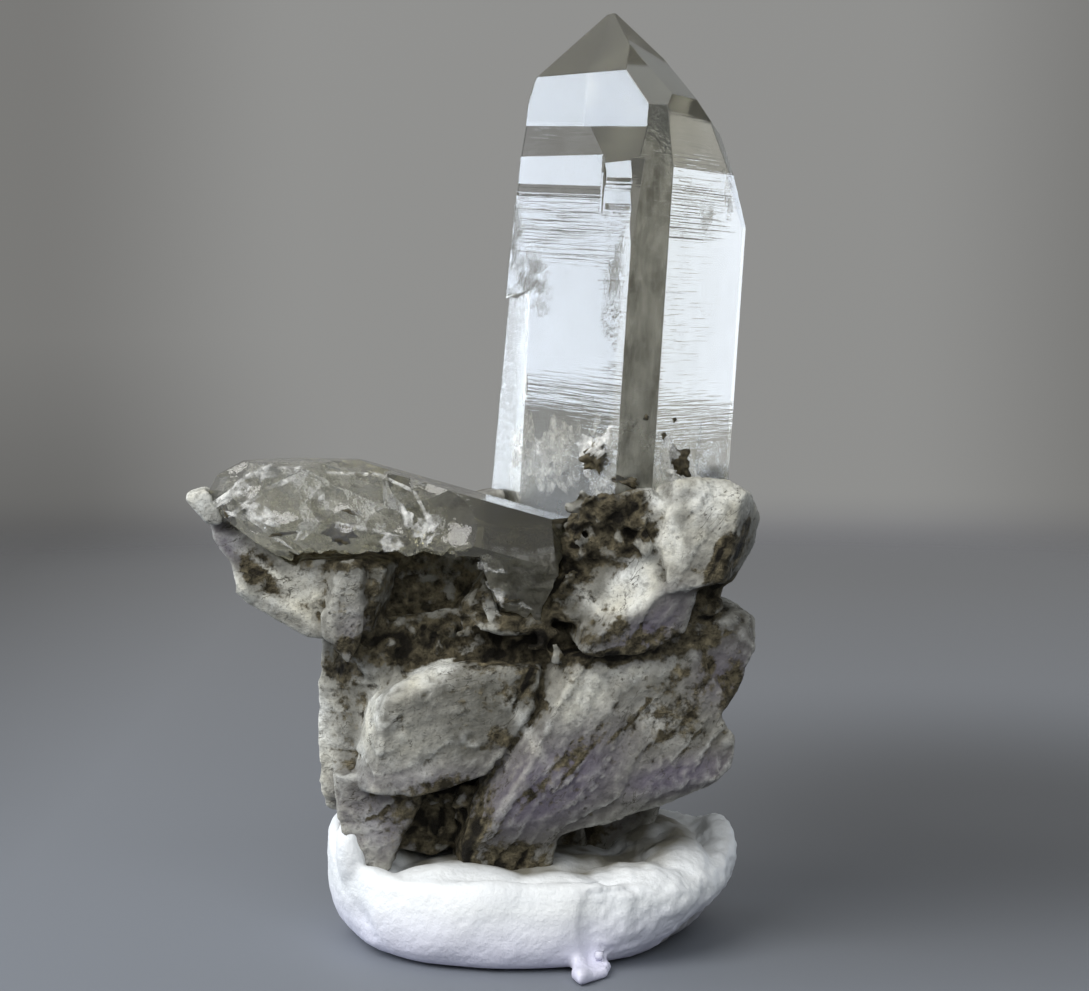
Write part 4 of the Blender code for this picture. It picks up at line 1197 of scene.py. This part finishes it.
def feldspar_material():
    material, look = new_material("weathered_feldspar")
    dirt = look.painted("dirt")
    right = look.painted("right")
    cloud = look.noise(260.0, 4.0, 0.35, 0.7)
    grain = look.noise(1700.0, 6.0, 0.34, 0.68)
    angles = [math.atan2(grain_way.z, grain_way.x) for grain_way in (LEFT_GRAIN, RIGHT_GRAIN)]
    streaks = [look.noise(1.0, 3.0, 0.30, 0.72, (200.0, 700.0, 1100.0), angle) for angle in angles]
    streak = look.mix(right, *streaks, kind="FLOAT")
    crack = look.mix(right, *[crack_lines(look, angle) for angle in angles], kind="FLOAT")
    pits = pit_dots(look)
    stone = look.mix(cloud, (0.105, 0.101, 0.083), (0.215, 0.212, 0.190))
    stone = look.mix(look.product(streak, 0.5), stone, (0.085, 0.080, 0.062))
    # Painted lilac shade
    stone = look.mix(look.product(look.painted("lilac"), 0.85), stone, (0.108, 0.096, 0.122))
    # Pale stone with painted highlights
    chalk = look.mix(cloud, (0.66, 0.67, 0.645), (0.55, 0.53, 0.44))
    stone = look.mix(look.product(look.painted("pale"), look.sum(grain, 0.5)), stone, chalk)
    stone = look.mix(look.product(dust_specks(look), 0.55), stone, (0.055, 0.048, 0.032))
    stone = look.mix(look.product(pits, 0.65), stone, (0.04, 0.034, 0.022))
    stone = look.mix(look.product(crack, 0.8), stone, (0.035, 0.030, 0.02))
    # Dirt together with painted shade in hollows and crevices
    cover = look.between(look.sum(look.product(dirt, 0.72), look.product(grain, 0.4)), 0.42, 0.70)
    crumbs = look.noise(1100.0, 6.0, 0.36, 0.66)
    brown = look.mix(crumbs, (0.019, 0.015, 0.007), (0.190, 0.162, 0.102))
    # Painted near-black shade in the deepest crevices, where the mask passes 1.15
    brown = look.mix(look.between(dirt, 1.15, 1.75), brown, (0.011, 0.0085, 0.0045))
    look.put("Base Color", look.mix(cover, stone, brown))
    look.put("Roughness", 0.75)
    look.put("Specular IOR Level", 0.25)
    rough = look.bump(look.difference(look.product(grain, 0.5), pits), 0.00018, 0.8)
    rough = look.bump(crumbs, 0.00050, look.sum(cover, 0.25), rough)
    look.put("Normal", look.bump(streak, 0.00008, 0.6, rough))
    return material


def putty_material():
    material, look = new_material("white_putty")
    split = look.add("ShaderNodeSeparateXYZ", {"Vector": look.place()}).outputs
    # Painted lilac shade towards the bottom
    low = look.between(split["Z"], 0.0, 0.0055, 1.0, 0.0)
    cloud = look.noise(180.0, 3.0, 0.35, 0.7)
    white = look.mix(cloud, (0.68, 0.705, 0.73), (0.75, 0.77, 0.78))
    white = look.mix(look.product(low, 0.8), white, (0.63, 0.62, 0.80))
    look.put("Base Color", look.mix(look.painted("soiled"), white, (0.19, 0.18, 0.145)))
    look.put("Roughness", 0.55)
    look.put("Normal", look.bump(look.noise(1400.0, 4.0, 0.3, 0.7), 0.00009, 0.7))
    return material


def make_camera():
    data = bpy.data.cameras.new("camera")
    data.sensor_fit = "HORIZONTAL"
    data.sensor_width = SENSOR_WIDTH
    data.lens = FOCAL_PIXELS * SENSOR_WIDTH / PHOTO_WIDTH
    data.clip_start = 0.01
    data.clip_end = 20.0
    camera = bpy.data.objects.new("camera", data)
    camera.location = CAMERA_PLACE
    camera.rotation_euler = (math.radians(90.0) + CAMERA_PITCH, 0.0, 0.0)
    bpy.context.scene.collection.objects.link(camera)
    bpy.context.scene.camera = camera


def softbox(name, direction, distance, width, height, colour, radiance, through=False):
    """A rectangular light facing the specimen, with the given radiance; window lights only mirror."""
    data = bpy.data.lights.new(name, "AREA")
    data.shape = "RECTANGLE"
    data.size = width
    data.size_y = height
    data.color = colour
    data.energy = radiance * math.pi * width * height
    light = bpy.data.objects.new(name, data)
    light.location = LIGHT_TARGET + distance * direction
    light.rotation_mode = "QUATERNION"
    light.rotation_quaternion = direction.to_track_quat("Z", "Y")
    light.visible_camera = False
    light.visible_transmission = through
    bpy.context.scene.collection.objects.link(light)


def make_lights():
    cool = (0.78, 0.87, 1.0)
    softbox("left_window", compass(108, 6.2), 0.6, 0.30, 0.145, cool, 9.3)
    softbox("left_window_low", compass(124, -1.0), 0.6, 0.12, 0.24, (0.84, 0.92, 1.0), 7.4)
    softbox("right_window", compass(-130, -2.2), 0.5, 0.30, 0.091, cool, 3.9)
    softbox("key", compass(48, 42), 0.95, 0.8, 0.6, (1.0, 0.99, 0.97), 5.4, through=True)
    softbox("front_fill", compass(-14, 28), 0.9, 0.5, 0.5, (0.95, 0.98, 1.0), 3.2, through=True)


def make_stage():
    """A pale floor with painted light and shade: lighter and bluer towards the front, shaded softly at the
    right behind the specimen and at its left side, and fading out at its rim.
    """
    bm = bmesh.new()
    bmesh.ops.create_circle(bm, cap_ends=True, segments=128, radius=0.42)
    bmesh.ops.translate(bm, verts=bm.verts, vec=(0.0, 0.0, -0.00005))
    floor = new_object("floor", bm)
    material, look = new_material("pale_floor")
    look.put("Roughness", 0.65)
    place = look.place()
    split = look.add("ShaderNodeSeparateXYZ", {"Vector": place}).outputs
    # Painted light: the floor is lighter and bluer towards the front
    near = look.between(split["Y"], 0.26, -0.06)
    tone = look.mix(near, (0.152, 0.155, 0.163), (0.175, 0.193, 0.226))
    moved = (-SHADE_PLACE[0] / SHADE_REACH[0], -SHADE_PLACE[1] / SHADE_REACH[1], 0.0)
    scale = (1.0 / SHADE_REACH[0], 1.0 / SHADE_REACH[1], 0.0)
    about = look.add("ShaderNodeMapping", {"Vector": place, "Location": moved, "Scale": scale})
    from_shade = look.add("ShaderNodeVectorMath", {0: about.outputs["Vector"]}, operation="LENGTH")
    shade = look.between(from_shade.outputs["Value"], 0.2, 1.6, 0.70, 0.0, "SMOOTHSTEP")
    tone = look.mix(shade, tone, FLOOR_SHADE)
    # Painted shade on the floor's left side
    leftward = look.between(split["X"], -0.10, -0.05, 0.60, 0.0)
    look.put("Base Color", look.mix(leftward, tone, FLOOR_SHADE))
    from_middle = look.add("ShaderNodeVectorMath", {0: place}, operation="LENGTH")
    look.put("Alpha", look.between(from_middle.outputs["Value"], 0.28, 0.40, 1.0, 0.0, "SMOOTHSTEP"))
    floor.data.materials.append(material)


def make_world():
    """A soft studio: brighter from the left and above, darker at the right and below the table."""
    world = bpy.data.worlds.new("studio")
    world.use_nodes = True
    look = Look(world.node_tree)
    way = look.place("Generated")
    side = look.add("ShaderNodeVectorMath", {0: way, 1: (-0.8, -0.1, 0.6)}, operation="DOT_PRODUCT")
    ramp = look.add("ShaderNodeValToRGB", {"Fac": look.between(side.outputs["Value"], -1.0, 1.0)})
    for number, (place, value) in enumerate(STUDIO_STOPS):
        stop = ramp.color_ramp.elements[number] if number < 2 else ramp.color_ramp.elements.new(place)
        stop.position = place
        stop.color = (value, value, 0.975 * value, 1.0)
    split = look.add("ShaderNodeSeparateXYZ", {"Vector": way}).outputs
    low = look.between(split["Z"], -0.107, -0.084, 1.0, 0.0, "SMOOTHSTEP")
    tone = look.mix(low, ramp.outputs["Color"], (0.185, 0.187, 0.198))
    back = look.between(split["Y"], 0.7, 0.9)
    dim = look.between(look.apart(split["X"], 0.02), 0.10, 0.20, 0.0, 0.5, "SMOOTHSTEP")
    tone = look.mix(look.product(dim, back), tone, (0.10, 0.097, 0.09))
    hazy = look.between(split["Z"], -0.03, -0.095, 0.0, 0.40)
    leftward = look.between(split["X"], -0.07, -0.16)
    tone = look.mix(look.product(hazy, look.product(leftward, back)), tone, (0.05, 0.05, 0.05))
    look.feed(look.nodes["Background"].inputs["Color"], tone)
    bpy.context.scene.world = world


def crystal_tree(node):
    crystal = node_copy(node)
    tree = BVHTree.FromBMesh(crystal)
    crystal.free()
    return tree


def under_surface(tree, place):
    """The point at a depth under a crystal's front."""
    across, depth, upward = place
    surface = tree.ray_cast(Vector((across, -40.0, upward)), -FRONT)[0]
    return surface - depth * FRONT


def inner_piece(name, place, size, turn, ruggedness, material):
    bm = veil_mesh(size, turn, ruggedness, len(name) + place[0])
    bmesh.ops.translate(bm, verts=bm.verts, vec=place)
    finish_piece(name, bm, material, None, smooth=True)


def make_inner_pieces():
    """Veils, clouds, fracture lines, white sheets that are painted highlights, and inclusions, inside the
    crystals or close under their front.
    """
    veil = veil_material("milky_veil", 0.36, 0.66, 1.0)
    fracture = veil_material("pale_fracture", 0.40, 0.64, 0.75)
    cream = veil_material("cream_cloud", 0.26, 0.60, 0.85)
    brown = inclusion_material()
    for pieces, material in ((FOOT_VEILS, veil), (SIDE_SHEETS, fracture)):
        for name, (place, size, turn, ruggedness) in pieces.items():
            inner_piece(name, place, size, turn, ruggedness, material)
    close_pieces = (
        (FOOT_FLAKES, "main_quartz_crystal", veil, "clear_quartz"),
        (SIDE_FLAKES, "side_quartz_crystal", fracture, "clear_quartz"),
        (BREAK_LINES, "side_quartz_crystal", fracture, "clear_quartz"),
        (FOOT_CLOUDS, "main_quartz_crystal", cream, "clear_quartz"),
        (FOOT_INCLUSIONS, "main_quartz_crystal", brown, "feldspar"),
        (SIDE_INCLUSIONS, "side_quartz_crystal", brown, "feldspar"))
    for pieces, node, material, slot in close_pieces:
        tree = crystal_tree(node)
        for name, (place, size, turn, ruggedness) in pieces.items():
            inner_piece(name, under_surface(tree, place), size, turn, ruggedness, material)


def make_specimen():
    clear = clear_quartz_material()
    smoky = smoky_quartz_material()
    finish_piece("tall_crystal", main_crystal_mesh(), clear, "main_quartz_crystal")
    finish_piece(
        "reclining_crystal", side_crystal_mesh(), smoky, "side_quartz_crystal", smooth=True)
    rock = rock_mesh()
    paint_rock(rock)
    finish_piece("feldspar", rock, feldspar_material(), "feldspar_matrix", smooth=True)
    finish_piece("putty", putty_mesh(), putty_material(), "putty_base", smooth=True)
    make_inner_pieces()


make_noise_group()
make_camera()
make_stage()
make_world()
make_lights()
make_specimen()

bpy.context.scene.view_settings.view_transform = "Standard"
